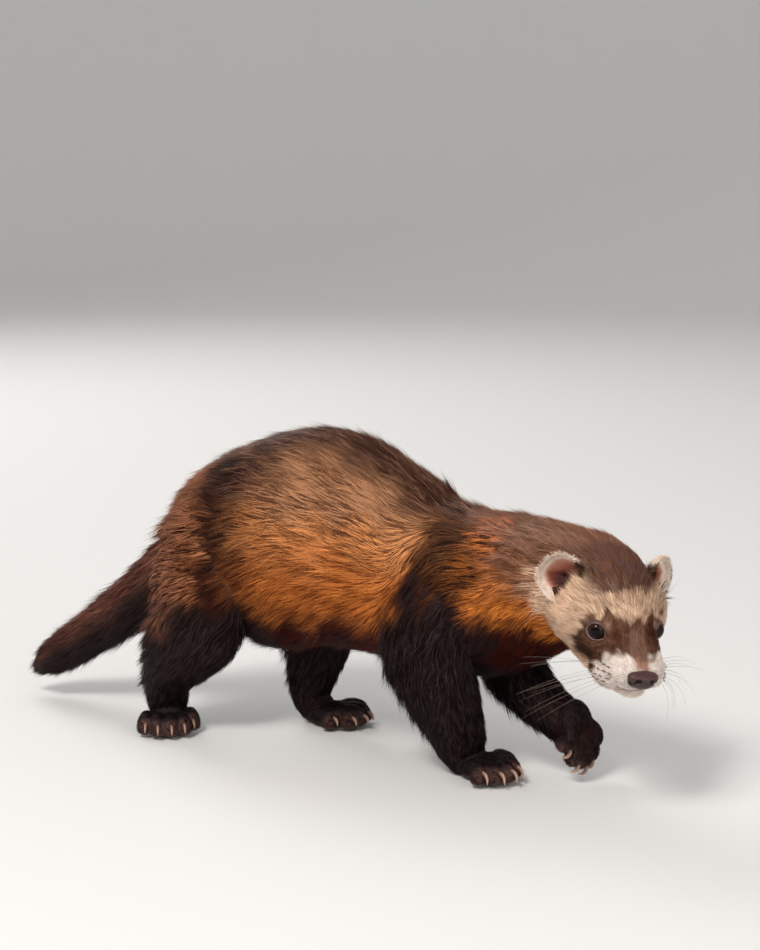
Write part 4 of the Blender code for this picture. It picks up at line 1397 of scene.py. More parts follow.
def mouth(points: Array, width: float) -> Array:
    """How near points are to the line of the mouth.

    Args:
        points: places in the row frame.
        width: how far over and under the line it reaches.

    Returns:
        exp(-(height over the line / width)²), and 0 more than 5 mm beside the line.
    """
    own = HEAD.own(points)
    own[:, 1] = np.abs(own[:, 1])
    line = smooth_curve(np.column_stack((LIP_LINE, LIP_HEIGHTS)), 60)
    flat = ((own[:, None, :2] - line[None, :, :2]) ** 2).sum(2)
    near = flat.argmin(1)
    reach = np.sqrt(flat[np.arange(len(own)), near])
    return bell(own[:, 2], line[near, 2], width) * step(0.005, 0.003, reach)


def sole_share(points: Array, normals: Array, read: Reading) -> Array:
    """How bare the skin is under the feet.

    Args:
        points: places in the row frame.
        normals: the skin's normals there.
        read: the reading there.

    Returns:
        1 where the skin of a foot looks down, within 4 mm of the sole, and 0 elsewhere.
    """
    share = np.zeros(len(points))
    for foot in FEET:
        own = (points - foot.placed((0, 0, 0))[0]) @ foot.turn()
        under = step(0.35, 0.75, -(normals @ foot.turn()[:, 2])) * step(0.0045, 0.003, own[:, 2])
        inside = (np.abs(own[:, 0] - 0.008) < 0.02) & (np.abs(own[:, 1]) < 0.016) & (own[:, 2] > -0.003)
        share = np.maximum(share, under * inside)
    return share * read.share[:, Kind.PAW.value]


BEND_LIMITS = (-12, 110)  # of the ground along the hair, per metre


@dataclass
class Ground:
    """A surface that hair grows on, with what the hair is like at each of its points."""

    points: Array
    tris: Array
    normals: Array
    lie: Array
    length: Array
    lift: Array
    density: Array
    width: Array
    chart: Array
    group: Array
    colours: Coloured | None = None

    def bend(self) -> Array:
        """Curvature of the surface along the lie, per metre.

        Returns:
            Over a point's edges, sum((e . lie) * (dn . lie)) / sum((e . lie)²), where e is the edge and dn
            the change of the normal along it, smoothed twice over the neighbours and kept within BEND_LIMITS.
        """
        pairs = np.vstack((self.tris[:, (0, 1)], self.tris[:, (1, 2)], self.tris[:, (2, 0)]))
        pairs = np.vstack((pairs, pairs[:, ::-1]))
        here, there = pairs.T
        lie = self.lie[here]
        edge = dot(self.points[there] - self.points[here], lie)
        change = dot(self.normals[there] - self.normals[here], lie)
        count = len(self.points)
        top = np.bincount(here, edge * change, count)
        base = np.bincount(here, edge * edge, count)
        bend = top / np.maximum(base, 1e-12)
        near = np.maximum(np.bincount(here, minlength=count), 1)
        for _ in range(2):
            bend = 0.5 * bend + 0.5 * np.bincount(here, bend[there], count) / near
        return np.clip(bend, *BEND_LIMITS)


@dataclass(frozen=True)
class Group:
    """A stretch of coat: its name, its slot and the solids it stands for."""

    name: str
    slot: str
    nodes: list


GROUPS = (
    Group("coat_trunk", "flank_coat", TRUNK_NODES),
    Group("coat_tail", "dark_coat", TAIL_NODES),
    Group("coat_legs", "dark_coat", LEG_NODES),
    Group("coat_paws", "dark_coat", PAW_NODES),
    Group("coat_head", "face_coat", ["head"]),
    Group("coat_ears", "ear_coat", ["ear_left", "ear_right"]),
)
TRUNK_GROUP, TAIL_GROUP, LEG_GROUP, PAW_GROUP, HEAD_GROUP, EAR_GROUP = range(len(GROUPS))
KIND_GROUPS = np.array((TRUNK_GROUP, TAIL_GROUP, LEG_GROUP, LEG_GROUP, PAW_GROUP, HEAD_GROUP))

# A tuft: its root, three corners round it, its tip. Its faces, the corners' places across and up in widths,
# and each point's place on the texture map, along and across in patches
TUFT_FACES = np.array(((3, 1, 0), (2, 3, 0), (1, 2, 0), (1, 3, 4), (3, 2, 4), (2, 1, 4)))
TUFT_CORNERS = ((-0.5, 0.0), (0.5, 0.0), (0.0, 0.45))
TUFT_CHART = np.array(((0, 0), (0.42, -0.5), (0.42, 0.5), (0.5, 0.0), (1, 0.1)))


@dataclass
class Coat:
    """The hair, in closed tufts that lie on the skin like tiles."""

    limit: int = 190000  # triangles a piece
    patch: float = 0.003  # a tuft's width on the texture map
    thin: float = 1.0  # share of the tufts that is made
    waist: float = 0.42  # where along a tuft its corners stand
    sunk: float = 0.0003  # depth of the root in the skin
    guard_share: float = 0.36
    guard_length: float = 1.25
    guard_width: float = 0.7
    sway: float = 0.22
    # painted shade at each tuft's root, as a share of its colour
    root_painted_shadow: float = 0.42
    normal_share: float = 0.6

    def build(self, skin: Piece, anatomy: Anatomy, ears: list) -> list:
        """Grows the coat.

        Args:
            skin: the skin's object.
            anatomy: reads the body.
            ears: grounds of the two ears.

        Returns:
            The coat's pieces.
        """
        pieces = []
        rng = np.random.default_rng(SEED)
        for ground in (self._body_ground(skin, anatomy), *ears):
            roots = self._sample(ground, rng)
            for number in np.unique(roots["group"]):
                chosen = roots["group"] == number
                self._grow(GROUPS[number], {k: v[chosen] for k, v in roots.items()}, rng, pieces)
        return pieces

    def _body_ground(self, skin: Piece, anatomy: Anatomy) -> Ground:
        """The skin as a ground, bare at eyes, nose, lips and pads.

        Args:
            skin: the skin's object.
            anatomy: reads the body.

        Returns:
            The ground, the coat's table values changed round eyes, ears, nose and mouth, longer behind the
            legs, and raised at the tail's end, where the hair runs on past the skin.
        """
        points, tris, normals = arrays_of(skin.data)
        read = anatomy.read(points)
        group = KIND_GROUPS[np.array([line.kind.value for line in anatomy.lines])[read.line]]
        made = Ground(points, tris, normals, read.lie, *read.coat.T[1:], self._chart(read, group), group)
        made.density = made.density * (1 - sole_share(points, normals, read))
        for side in SIDES:
            self._round_eye(made, side)
            self._round_ear(made, side)
        made.density = made.density * step(1.02, 1.12, Nose.reach(points, 0.0003))
        made.density = made.density * (1 - 0.85 * mouth(points, 0.0004))
        limb = read.share[:, Kind.FORE.value] + read.share[:, Kind.HIND.value]
        fringe = limb * step(0.1, 0.75, -normals[:, 0]) * step(0.012, 0.022, points[:, 2])
        uneven = np.clip(0.75 + 0.5 * waves(points, 0.0045, 37), 0, 1.5)
        fringe = fringe * step(0.085, 0.070, points[:, 2]) * uneven
        made.length = made.length * (1 + 0.45 * fringe)
        end = np.degrees(np.arcsin(np.clip(dot(normals, made.lie), 0, 1))) * read.share[:, Kind.TAIL.value]
        made.lift = np.maximum(made.lift + 13 * fringe, 0.9 * end)
        made.lie = laid(made.lie, normals)
        middle = points + 0.55 * made.length[:, None] * made.lie
        made.colours = MARKINGS.at(middle, anatomy.read(middle))
        log.info("coat grows on %d points", len(points))
        return made

    @staticmethod
    def _chart(read: Reading, group: Array) -> Array:
        """Places of the skin's points on the texture map OFBake.

        Args:
            read: the reading there.
            group: the group of coat that each point is in.

        Returns:
            The place along the form and the turn round it. Forms that share a piece have a quarter of it
            each.
        """
        shared = group >= LEG_GROUP
        along = 0.02 + 0.96 * np.clip(read.station, 0, 1)
        turned = 0.98 * (0.5 + read.turn / (2 * math.pi)) + 0.01
        return np.stack((along, np.where(shared, (turned + read.line % 4) / 4, turned)), 1)

    @staticmethod
    def _round_eye(ground: Ground, side: int) -> None:
        """Makes the hair round an eye shorter, finer and turned away from it, and leaves the lids bare.

        Args:
            ground: the skin as a ground.
            side: the eye's side.
        """
        look, _, centre = sight(side)
        away = ground.points - centre
        ahead = dot(away, look)
        radial = away - ahead[:, None] * look
        reach = np.linalg.norm(radial, axis=1)
        front = ahead > -0.004
        near = bell(np.maximum(reach, 0.0040), 0.0040, 0.003) * front
        ground.length = ground.length * (1 - 0.6 * near)
        ground.width = ground.width * (1 - 0.25 * near)
        ground.density = ground.density * (1 + 0.5 * near) * np.where(front, step(0.0037, 0.0040, reach), 1)
        ground.lie = ground.lie + 1.2 * near[:, None] * unit(radial)

    @staticmethod
    def _round_ear(ground: Ground, side: int) -> None:
        """Makes the hair round an ear shorter, and leaves the skin in its cup bare.

        Args:
            ground: the skin as a ground.
            side: the ear's side.
        """
        ear = Ear.of(side)
        own = ear.own(ground.points) / np.array(ear.size)
        reach = np.hypot(own[:, 1], own[:, 2])
        near = (own[:, 0] > -0.8) * (own[:, 0] < 1.6)
        above = ear.over_edge(ground.points)
        cup = step(0.96, 0.90, reach - 0.10 * step(0.1, -0.4, own[:, 2]))
        ground.density = ground.density * (1 - near * cup * step(-0.6, 0.8, above))
        ground.length = ground.length * (1 - 0.5 * near * step(1.9, 1.1, reach) * step(-3.0, 1.0, above))

    def _sample(self, ground: Ground, rng: np.random.Generator) -> dict:
        """Spreads roots evenly over the ground, as many per area as its density asks for.

        Args:
            ground: where the hair grows.
            rng: draws each root's place.

        Returns:
            The ground's values at the roots, by name.
        """
        corner = ground.points[ground.tris]
        area = np.linalg.norm(np.cross(corner[:, 1] - corner[:, 0], corner[:, 2] - corner[:, 0]), axis=1) / 2
        wanted = area * ground.density[ground.tris].mean(1) / MM**2 * self.thin
        total = np.cumsum(wanted)
        count = int(total[-1])
        spot = (np.arange(count) + rng.random(count)) / count * total[-1]
        face = np.minimum(np.searchsorted(total, spot), len(wanted) - 1)
        a, b = np.sqrt(rng.random(count)), rng.random(count)
        part = np.stack((1 - a, a * (1 - b), a * b), 1)
        index = ground.tris[face]

        def mixed(values: Array) -> Array:
            """Values at the roots, from the corners of their faces."""
            return np.einsum("nk,nk...->n...", part, values[index])

        leading = index[np.arange(count), part.argmax(1)]
        return {
            "root": mixed(ground.points),
            "normal": unit(mixed(ground.normals)),
            "lie": mixed(ground.lie),
            "bend": mixed(ground.bend()),
            "length": mixed(ground.length),
            "lift": mixed(ground.lift),
            "width": mixed(ground.width) / math.sqrt(self.thin),
            "hair": mixed(ground.colours.hair),
            "guard": mixed(ground.colours.guard),
            "share": mixed(ground.colours.share),
            "chart": ground.chart[leading],
            "group": ground.group[leading],
        }

    def _grow(self, group: Group, roots: dict, rng: np.random.Generator, pieces: list) -> None:
        """Makes one group's tufts, in as many pieces as the limit needs.

        Args:
            group: the stretch of coat.
            roots: values at its roots.
            rng: draws what varies.
            pieces: the coat's pieces, to which these are added.
        """
        parts = max(1, math.ceil(len(roots["root"]) * len(TUFT_FACES) / self.limit))
        order = np.argsort(roots["root"][:, 0], kind="stable")
        for chosen in np.array_split(order, parts):
            made = self._tufts({k: v[chosen] for k, v in roots.items()}, rng)
            number = sum(piece.name.startswith(group.name) for piece in pieces) + 1
            pieces.append(dress(mesh_object(f"{group.name}_{number}", *made), HAIR, group.nodes))

    def _tufts(self, roots: dict, rng: np.random.Generator) -> tuple[Shape, Array, Array, Array]:
        """Closed tufts from their roots.

        Args:
            roots: values at the roots.
            rng: draws what varies.

        Returns:
            Their shape, shades, normals and places on the chart. A tuft's middle at t from 0 to 1 of its
            length L is root + L t cos(lift) lie + (L t sin(lift) (1 - t / 4) - bend (L t)² / 2) normal
            + sway L t (0.4 + 0.6 t) across.
        """
        root, normal = roots["root"], roots["normal"]
        count = len(root)
        lie = laid(roots["lie"], normal)
        across = np.cross(lie, normal)
        guard = rng.random(count) < self.guard_share
        length = roots["length"] * np.where(guard, self.guard_length, 1.0) * rng.uniform(0.75, 1.15, count)
        width = roots["width"] * np.where(guard, self.guard_width, 1.0) * rng.uniform(0.8, 1.2, count)
        lift = np.radians(roots["lift"] + np.where(guard, 2.5, -2.0) + rng.normal(0, 2.2, count))
        lift = lift * (1 + 0.22 * waves(root, 0.006, 31))
        swing = self.sway * (0.55 * waves(root, 0.011, 32) + 0.45 * waves(root, 0.0035, 33))
        swing = swing + rng.normal(0, 0.05, count)

        def middle(t: float) -> Array:
            """The tufts' middles.

            Args:
                t: a share of their length.

            Returns:
                The place of each there.
            """
            far = length * t
            high = far * np.sin(lift) * (1 - t / 4) - roots["bend"] * far**2 / 2
            side = swing * far * (0.4 + 0.6 * t)
            ahead = far * np.cos(lift)
            return root + ahead[:, None] * lie + high[:, None] * normal + side[:, None] * across

        points, lit = [root - self.sunk * normal], [normal]
        for side, rise in TUFT_CORNERS:
            out = side * across + rise * normal
            points.append(middle(self.waist) + width[:, None] * out)
            lit.append(unit(self.normal_share * normal + (1 - self.normal_share) * unit(out + 0.15 * normal)))
        points = np.stack((*points, middle(1.0)), 1)
        points[..., 2] = np.maximum(points[..., 2], 0.0002)
        lit = np.stack((*lit, unit(normal + 0.25 * lie)), 1)
        tris = TUFT_FACES + np.arange(count)[:, None, None] * points.shape[1]
        chart = roots["chart"][:, None] + self.patch * (TUFT_CHART - (0.5, 0.0))
        shape = Shape(points.reshape(-1, 3), tris=tris.reshape(-1, 3))
        return shape, self._shade(roots, guard, rng).reshape(-1, 3), lit.reshape(-1, 3), chart.reshape(-1, 2)

    def _shade(self, roots: dict, guard: Array, rng: np.random.Generator) -> Array:
        """Colours of the tufts' points.

        Args:
            roots: values at the roots.
            guard: which tufts are guard hair.
            rng: draws what varies.

        Returns:
            Painted shade at the root, less on short hair, full in the middle, and lighter at the tip of the
            under coat.
        """
        count = len(guard)
        root, length = roots["root"], roots["length"]
        patch = 1 + 0.8 * waves(root, 0.0025, 34)
        dark = rng.random(count) < roots["share"] * patch * np.where(guard, 1.7, 0.6)
        main = np.where(dark[:, None], roots["guard"], roots["hair"])
        calm = 1 - 0.45 * step(0.0060, 0.0030, length)
        tone = 0.12 * waves(root, 0.0018, 35) + 0.08 * waves(root, 0.008, 36) + rng.normal(0, 0.09, count)
        main = main * np.clip(1 + calm * tone, 0.5, 1.6)[:, None]
        # painted shade: the root of each tuft is darkened
        base = (self.root_painted_shadow + 0.4 * step(0.0045, 0.0015, length))[:, None] * main
        tip = main * np.where(guard, 0.9, 1.12)[:, None]
        return np.stack((base, *[0.95 * main] * len(TUFT_CORNERS), tip), 1)


@dataclass
class Eye:
    """One eye: a wet ball whose clear front stands a little proud, with its pupil and dark iris."""

    side: int
    radius: float = 0.0043
    bulge: float = 0.00035
    bulge_radius: float = 0.003
    pupil: float = 0.0019
    iris: float = 0.0034

    def build(self) -> Piece:
        """Makes the ball.

        Returns:
            The eye's object. Its radius grows by bulge * exp(-(r / bulge_radius)⁴), r being the distance
            from the line of sight, and the colours are rings round that line.
        """
        look, up, centre = sight(self.side)
        axes = np.stack((np.cross(up, look), up, look))
        shape = ball(np.zeros(3), (self.radius,) * 3, axes, rings=40, sides=48)
        ahead = shape.points @ look
        off = np.linalg.norm(shape.points - ahead[:, None] * look, axis=1)
        front = ahead > 0
        grow = self.bulge * np.exp(-((off / self.bulge_radius) ** 4)) * front
        shape.points = centre + shape.points * (1 + grow / self.radius)[:, None]
        shade = plain(Palette.LIMBUS, len(off))
        shade = over(shade, Palette.IRIS, step(self.iris, self.iris - 0.0006, off) * front)
        shade = over(shade, Palette.PUPIL, step(self.pupil + 0.0002, self.pupil - 0.0002, off) * front)
        word = SIDES[self.side]
        return dress(mesh_object(f"eyeball_{word}", shape, shade), EYE_WET, [f"eye_{word}"])


@dataclass
class Lids:
    """The rim of both lids round one eye, with the inner corner drawn towards the nose."""

    side: int
    opening: float = 0.00305
    wider: float = 0.00018
    corner: float = 0.0007
    # Radius and height along the line of sight, from the bare edge over the lid and down into the skin
    profile: tuple = (
        (0.0, 2.75),
        (0.02, 3.06),
        (0.14, 3.24),
        (0.34, 3.22),
        (0.58, 2.95),
        (0.85, 2.40),
        (1.15, 1.40),
        (1.35, 0.20),
        (1.00, 0.00),
        (0.60, 1.00),
        (0.22, 2.00),
    )

    def build(self) -> Piece:
        """Makes the ring of both lids.

        Returns:
            Its object: the profile swept round the line of sight, its radius widened towards the corners.
        """
        look, up, centre = sight(self.side)
        inner = self.side * np.cross(look, up)
        angle = np.linspace(0, 2 * math.pi, 72, endpoint=False)
        turned = (angle + math.pi) % (2 * math.pi) - math.pi
        draw = bell(turned, -0.45, 0.30)
        edge = self.opening + self.wider * np.cos(angle) ** 2 + self.corner * draw
        profile = np.array(self.profile) * MM
        radius = edge[:, None] + profile[None, :, 0]
        height = profile[None, :, 1] - 0.5 * self.corner * draw[:, None]
        way = np.cos(angle)[:, None] * inner + np.sin(angle)[:, None] * up
        points = centre + radius[..., None] * way[:, None] + height[..., None] * look
        shape = outward(grid(points))
        rim = step(0.00075, 0.00045, np.tile(profile[:, 0], len(angle)))[:, None]
        # painted light and shade: the lower rim is painted pale as a wet highlight, the upper rim at 0.3 of
        # it as shade
        lower_lit = (0.30 + 0.70 * step(0.4, -0.7, np.sin(np.repeat(angle, len(profile)))))[:, None]
        shade = Palette.LID_FOLD.light * (1 - rim) + Palette.LID.light * lower_lit * rim
        return dress(mesh_object(f"lids_{SIDES[self.side]}", shape, shade), LID_SKIN, ["head"])


@dataclass
class Nose:
    """The bare nose pad: wide at the top, narrow below, with comma-shaped nostrils and a middle groove."""

    place: tuple = (0.0194, 0.0, -0.0099)
    size: tuple = (0.0037, 0.0056, 0.0035)
    taper: float = 0.36
    squareness: float = 0.60
    nostril_depth: float = 0.0019
    groove_depth: float = 0.0004
    rim_height: float = 0.00025

    @staticmethod
    def reach(points: Array, margin: float = 0.0) -> Array:
        """Distance from the pad's middle in its own half sizes, with a margin added to them."""
        return np.linalg.norm((HEAD.own(points) - Nose.place) / (np.array(Nose.size) + margin), axis=1)

    def build(self) -> Piece:
        """Makes the pad.

        Returns:
            Its object: a ball whose coordinates are raised to the power of its squareness, tapered to below,
            with nostrils, rims and groove pressed in along its normals.
        """
        shape = ball(np.zeros(3), (1.0, 1.0, 1.0), np.eye(3)[[1, 2, 0]], rings=70, sides=96)
        own = np.sign(shape.points) * np.abs(shape.points) ** self.squareness
        own = own / np.maximum(np.linalg.norm(own, axis=1, keepdims=True), 1e-9) ** 0.6
        own = own * np.array(self.size)
        own[:, 1] *= 1 + self.taper * own[:, 2] / self.size[2]
        front = step(-0.001, 0.001, own[:, 0])
        y, z = np.abs(own[:, 1]) / MM, own[:, 2] / MM
        hole = self._comma(y, z)
        groove = bell(y, 0, 0.35) * step(1.2, -0.6, z)
        out = unit(own / np.array(self.size) ** 2)
        press = self.nostril_depth * hole + self.groove_depth * groove
        rim = self.rim_height * bell(y, 2.4, 2.0) * bell(z, 0.9, 1.0)
        own = own + out * ((rim - press) * front)[:, None]
        own[:, 0] -= 0.0004 * step(0, 0.0035, -own[:, 2]) * front
        shape.points = HEAD.out(own + self.place)
        # painted light: the upper part of the pad is painted lighter, as where light falls on it
        shade = over(plain(Palette.NOSE, len(z)), Palette.NOSE_LIT_TOP, step(0.8, 2.4, z))
        # painted shade: the nostrils are painted near black, as shade in a deep hole
        shade = over(shade, Palette.NOSTRIL_SHADE, np.clip(1.9 * hole * front, 0, 1))
        return dress(mesh_object("nose_pad", shape, shade), NOSE_SKIN, ["nose"])

    @staticmethod
    def _comma(y: Array, z: Array) -> Array:
        """A nostril seen from the front: a round hole with a slit that runs out and down from it.

        Args:
            y: distance from the nose's middle in mm.
            z: height in mm.

        Returns:
            Its depth, up to 1.
        """
        hole = np.exp(-((((y - 2.9) / 1.15) ** 2 + ((z - 0.9) / 0.85) ** 2) ** 1.5))
        along = np.clip((y - 2.6) / 2.8, 0, 1)
        off = z - (0.6 - 1.4 * along)
        slit = 0.75 * np.exp(-((off / (0.42 - 0.15 * along)) ** 2)) * step(2.4, 3.0, y)
        return np.maximum(hole, slit)


@dataclass
class Ear:
    """One ear: a thin rounded cup with a rolled rim, folds at its floor and short hair."""

    side: int
    place: tuple = (-0.0205, 0.0212, 0.0118)
    size: tuple = (0.0066, 0.0096, 0.0101)
    look: tuple = (0.74, 0.62, 0.16)
    up: tuple = (-0.25, 0.42, 0.86)
    bowl: tuple = (0.0088, 0.0084, 0.0088)  # half sizes of the hollow in the head
    bowl_ahead: float = 0.0032
    past_half: float = 0.14  # how far the cup goes on past a half ball, in radians
    flatness: float = 0.80  # of the cup's floor
    coat: float = 0.0005
    wall: float = 0.0011
    rings: int = 46
    sides: int = 96

    @staticmethod
    def of(side: int) -> "Ear":
        """The ear of one side. The left one is laid a little closer to the head."""
        return Ear(side, (-0.0207, 0.0199, 0.0114), (0.0056, 0.0090, 0.0098)) if side > 0 else Ear(side)

    def centre(self) -> Array:
        """Its middle in the row frame."""
        return HEAD.out(self.place, self.side)

    def own(self, points: Array) -> Array:
        """Places of the row frame in the ear's frame."""
        return (points - self.centre()) @ self.frame().T

    def frame(self) -> Array:
        """Works its axes out.

        Returns:
            Them as rows: out of the cup, across, up.
        """
        look = HEAD.way(self.look, self.side)
        up = HEAD.way(self.up, self.side)
        up = unit(up - dot(up, look) * look)
        return np.stack((look, np.cross(up, look), up))

    def over_edge(self, points: Array) -> Array:
        """Measures how far places are over the line up to which the hair of the cheek covers the ear.

        Args:
            points: places in the row frame.

        Returns:
            Heights over the line in mm.
        """
        own = self.own(points) / MM
        ahead, covered = (-10, -7.2, -4.4, 1.5, 4.1, 8.4, 10), (-14, -11.5, -8.1, -5.7, -3.1, -0.9, 1)
        return own[:, 2] - np.interp(-self.side * own[:, 1], ahead, covered)

    def build(self) -> Ground:
        """Makes the cup.

        Returns:
            Its surface as a ground for hair. With s from -1 at the back's middle over 0 on the rim to 1 at
            the floor's middle, it is a ball outside and a shallower one inside, joined by the lip, and it
            stands on by past_half over a half ball.
        """
        axes = self.frame()
        deep, wide, tall = (value - self.coat for value in self.size)
        s = np.linspace(-1, 1, self.rings + 2)[1:-1]
        turn = np.linspace(0, 2 * math.pi, self.sides, endpoint=False)
        inside = s > 0
        polar = (1 - np.abs(s)) * (math.pi / 2 + self.past_half)
        radius = np.sin(polar)
        depth = -np.cos(polar)
        thick = np.where(inside, self.wall, 0.0) * step(0.0, 0.12, s)
        lip = 0.5 * self.wall * bell(s, 0, 0.06)
        wave = 1 + 0.03 * np.sin(3 * turn + 0.6) + 0.02 * np.sin(5 * turn)
        cos, sin = np.cos(turn), np.sin(turn)
        r = radius[:, None] * wave[None]
        across = cos[None] * (r * wide - thick[:, None])
        up = sin[None] * (r * tall - thick[:, None])
        floor = np.where(inside, self.flatness, 1.0)
        out = depth[:, None] * deep * floor[:, None] + lip[:, None] + 0 * across
        out = out + self._folds(across / wide, up / tall) * (inside * step(0.1, 0.35, s))[:, None]
        own = np.stack((out, across, up), -1)
        if self.side < 0:
            own[..., 1] *= -1
        poles = np.array(((-deep, 0, 0), (-deep * self.flatness + self._folds(0.0, 0.0), 0, 0)))
        place = own.reshape(-1, 3) @ axes + self.centre()
        shape = outward(grid(place.reshape(*own.shape), tuple(poles @ axes + self.centre())))
        level = np.r_[(up / tall).ravel(), 0, 0]
        ahead = np.r_[-(across / wide).ravel(), 0, 0]
        s = np.r_[np.repeat(s, self.sides), -1, 1]
        word = SIDES[self.side]
        made = mesh_object(f"ear_cup_{word}", shape, self._shade(s, level, ahead))
        dress(made, EAR_SKIN, [f"ear_{word}"])
        return self._ground(made, s, np.r_[np.tile(turn, self.rings), 0, 0])

    @staticmethod
    def _folds(x: Array, y: Array) -> Array:
        """Relief of the cup's floor.

        Args:
            x: place across, in half widths.
            y: height, in half heights.

        Returns:
            Heights of two slanting folds, less the canal's hollow low in front.
        """
        ridge = 0.0011 * bell(y, 0.25 + 0.3 * x, 0.16) * bell(x, 0, 0.6)
        low = 0.0009 * bell(y, -0.2 - 0.5 * x, 0.14) * bell(x, -0.1, 0.45)
        return ridge + low - 0.0012 * bell(x, 0.15, 0.3) * bell(y, -0.45, 0.25)

    @staticmethod
    def _shade(s: Array, level: Array, ahead: Array) -> Array:
        """Colours of the cup.

        Args:
            s: place from the back's middle over the rim to the floor's.
            level: height in half heights.
            ahead: place to the front in half widths.

        Returns:
            Cream behind and on the rim, pink at the top of the cup, dark red low down and deep in it as
            painted shade over its reddish skin, dark in front.
        """
        # painted shade: the cup's skin is 0.8 as light as the rim's hair, and darker lower and deeper in the
        # cup
        shade = 0.8 * plain(Palette.EAR_RIM, len(s))
        shade = over(shade, Palette.EAR_PINK, step(0.30, 0.46, s))
        shade = over(shade, Palette.EAR_MID, step(0.38, 0.58, s) * step(0.75, 0.25, level))
        shade = over(shade, Palette.EAR_DEEP_SHADE, step(0.45, 0.72, s) * step(0.35, -0.15, level))
        shade = over(shade, Palette.EAR_DEEP_SHADE, step(0.62, 0.92, s) * step(0.7, 0.2, level))
        return over(shade, Palette.EAR_DARK, step(0.42, 0.66, ahead) * step(0.50, 0.30, level))

    def _ground(self, made: Piece, s: Array, turn: Array) -> Ground:
        """The cup as a ground for hair.

        Args:
            made: the cup.
            s: place from the back's middle over the rim to the floor's, at each point.
            turn: the turn round the cup's axis there.

        Returns:
            Short cream hair behind, on the rim and just inside it, sparse longer hair on the floor, and a
            dark upright lock at the front.
        """
        points, tris, normals = arrays_of(made.data)
        out, _, up = self.frame()
        own = self.own(points)
        radial = unit((own * (0, 1, 1)) @ self.frame())
        back = step(0.0, -0.06, s)
        rim = step(-0.08, 0.0, s) * step(0.50, 0.36, s)
        inner = step(0.42, 0.56, s)
        lie = laid(radial + out * (0.25 + 0.6 * inner)[:, None], normals)
        length = 0.0018 * back + 0.0011 * rim + 0.0024 * inner
        density = 7.0 * back + 11.0 * rim * (1 - back) + 0.7 * inner * step(0.9, 0.6, s)
        width = np.where(inner > 0.5, 0.11, 0.16) * MM
        ahead = -self.side * own[:, 1] / self.size[1]
        level = own[:, 2] / self.size[2]
        front = step(0.50, 0.70, ahead) * step(0.52, 0.34, level)
        colours = Coloured.plain(len(s), Palette.EAR_RIM, Palette.FACE)
        colours.lay(inner, Palette.EAR_PINK, Palette.EAR_MID, 0.4)
        colours.lay(front, Palette.EAR_DARK, Palette.MASK, 0.3)
        lock = front * step(0.0, 0.1, s) * step(-0.5, -0.3, level)
        density = density * (1 - lock) + 9.0 * lock
        length = length * (1 - lock) + 0.0036 * lock
        lie = laid(lie * (1 - lock[:, None]) + (up + 0.5 * out) * lock[:, None], normals)
        lift = 9 + 14 * inner + 14 * lock
        half = 0.5 * (self.side > 0)
        chart = np.stack((half + 0.5 * (0.02 + 0.96 * (s + 1) / 2), 0.02 + 0.96 * turn / (2 * math.pi)), 1)
        group = np.full(len(s), EAR_GROUP)
        return Ground(points, tris, normals, lie, length, lift, density, width, chart, group, colours)


@dataclass
class Claws:
    """The five claws of one foot: smooth, curved, tapering tubes, flat on their sides."""

    foot: Foot
    flatness: float = 0.72
    rings: int = 18
    sides: int = 14
    # Along a claw, from inside the toe: place past the toe's reach, share of the toe's place across, height
    path: tuple = (
        (-0.0022, 1.02, 0.0066),
        (0.0003, 1.03, 0.0062),
        (0.0016, 1.05, 0.0047),
        (0.0019, 1.06, 0.0026),
    )
    away: float = 0.0035  # how far the root's colour runs out

    def build(self) -> Piece:
        """Makes the claws.

        Returns:
            Their object: each is a tube along its path to a blunt point over the floor, shorter and lower on
            the hind feet, with its colour going from the root's to the horn's.
        """
        shapes = []
        for reach, across in TOES:
            path = np.array([(reach + ahead, share * across, height) for ahead, share, height in self.path])
            if self.foot.leg.startswith("hind"):
                path[:, 0] = reach - 0.0022 + 0.85 * (path[:, 0] - reach + 0.0022)
                path[:, 2] = 0.0062 + 0.72 * (path[:, 2] - 0.0066)
            size = 0.86 * np.array(CLAW_SIZES)[:, None] * (self.flatness, 1, 1)
            rows = smooth_curve(np.hstack((self.foot.placed(path), size)), self.rings)
            shapes.append(tube(rows, self.foot.turn()[:, 2], self.sides))
        whole = Shape.joined(shapes)
        root = np.vstack([self.foot.placed((reach - 0.0008, across, 0.0054)) for reach, across in TOES])
        away = np.linalg.norm(whole.points[:, None] - root[None], axis=2).min(1)
        shade = over(plain(Palette.HORN_ROOT, len(away)), Palette.HORN, step(0.0, self.away, away))
        nodes = [f"claw_{self.foot.leg}_{number}" for number in range(1, len(TOES) + 1)]
        made = mesh_object(f"claws_{self.foot.leg}", whole, shade)
        return dress(made, HORN, nodes)


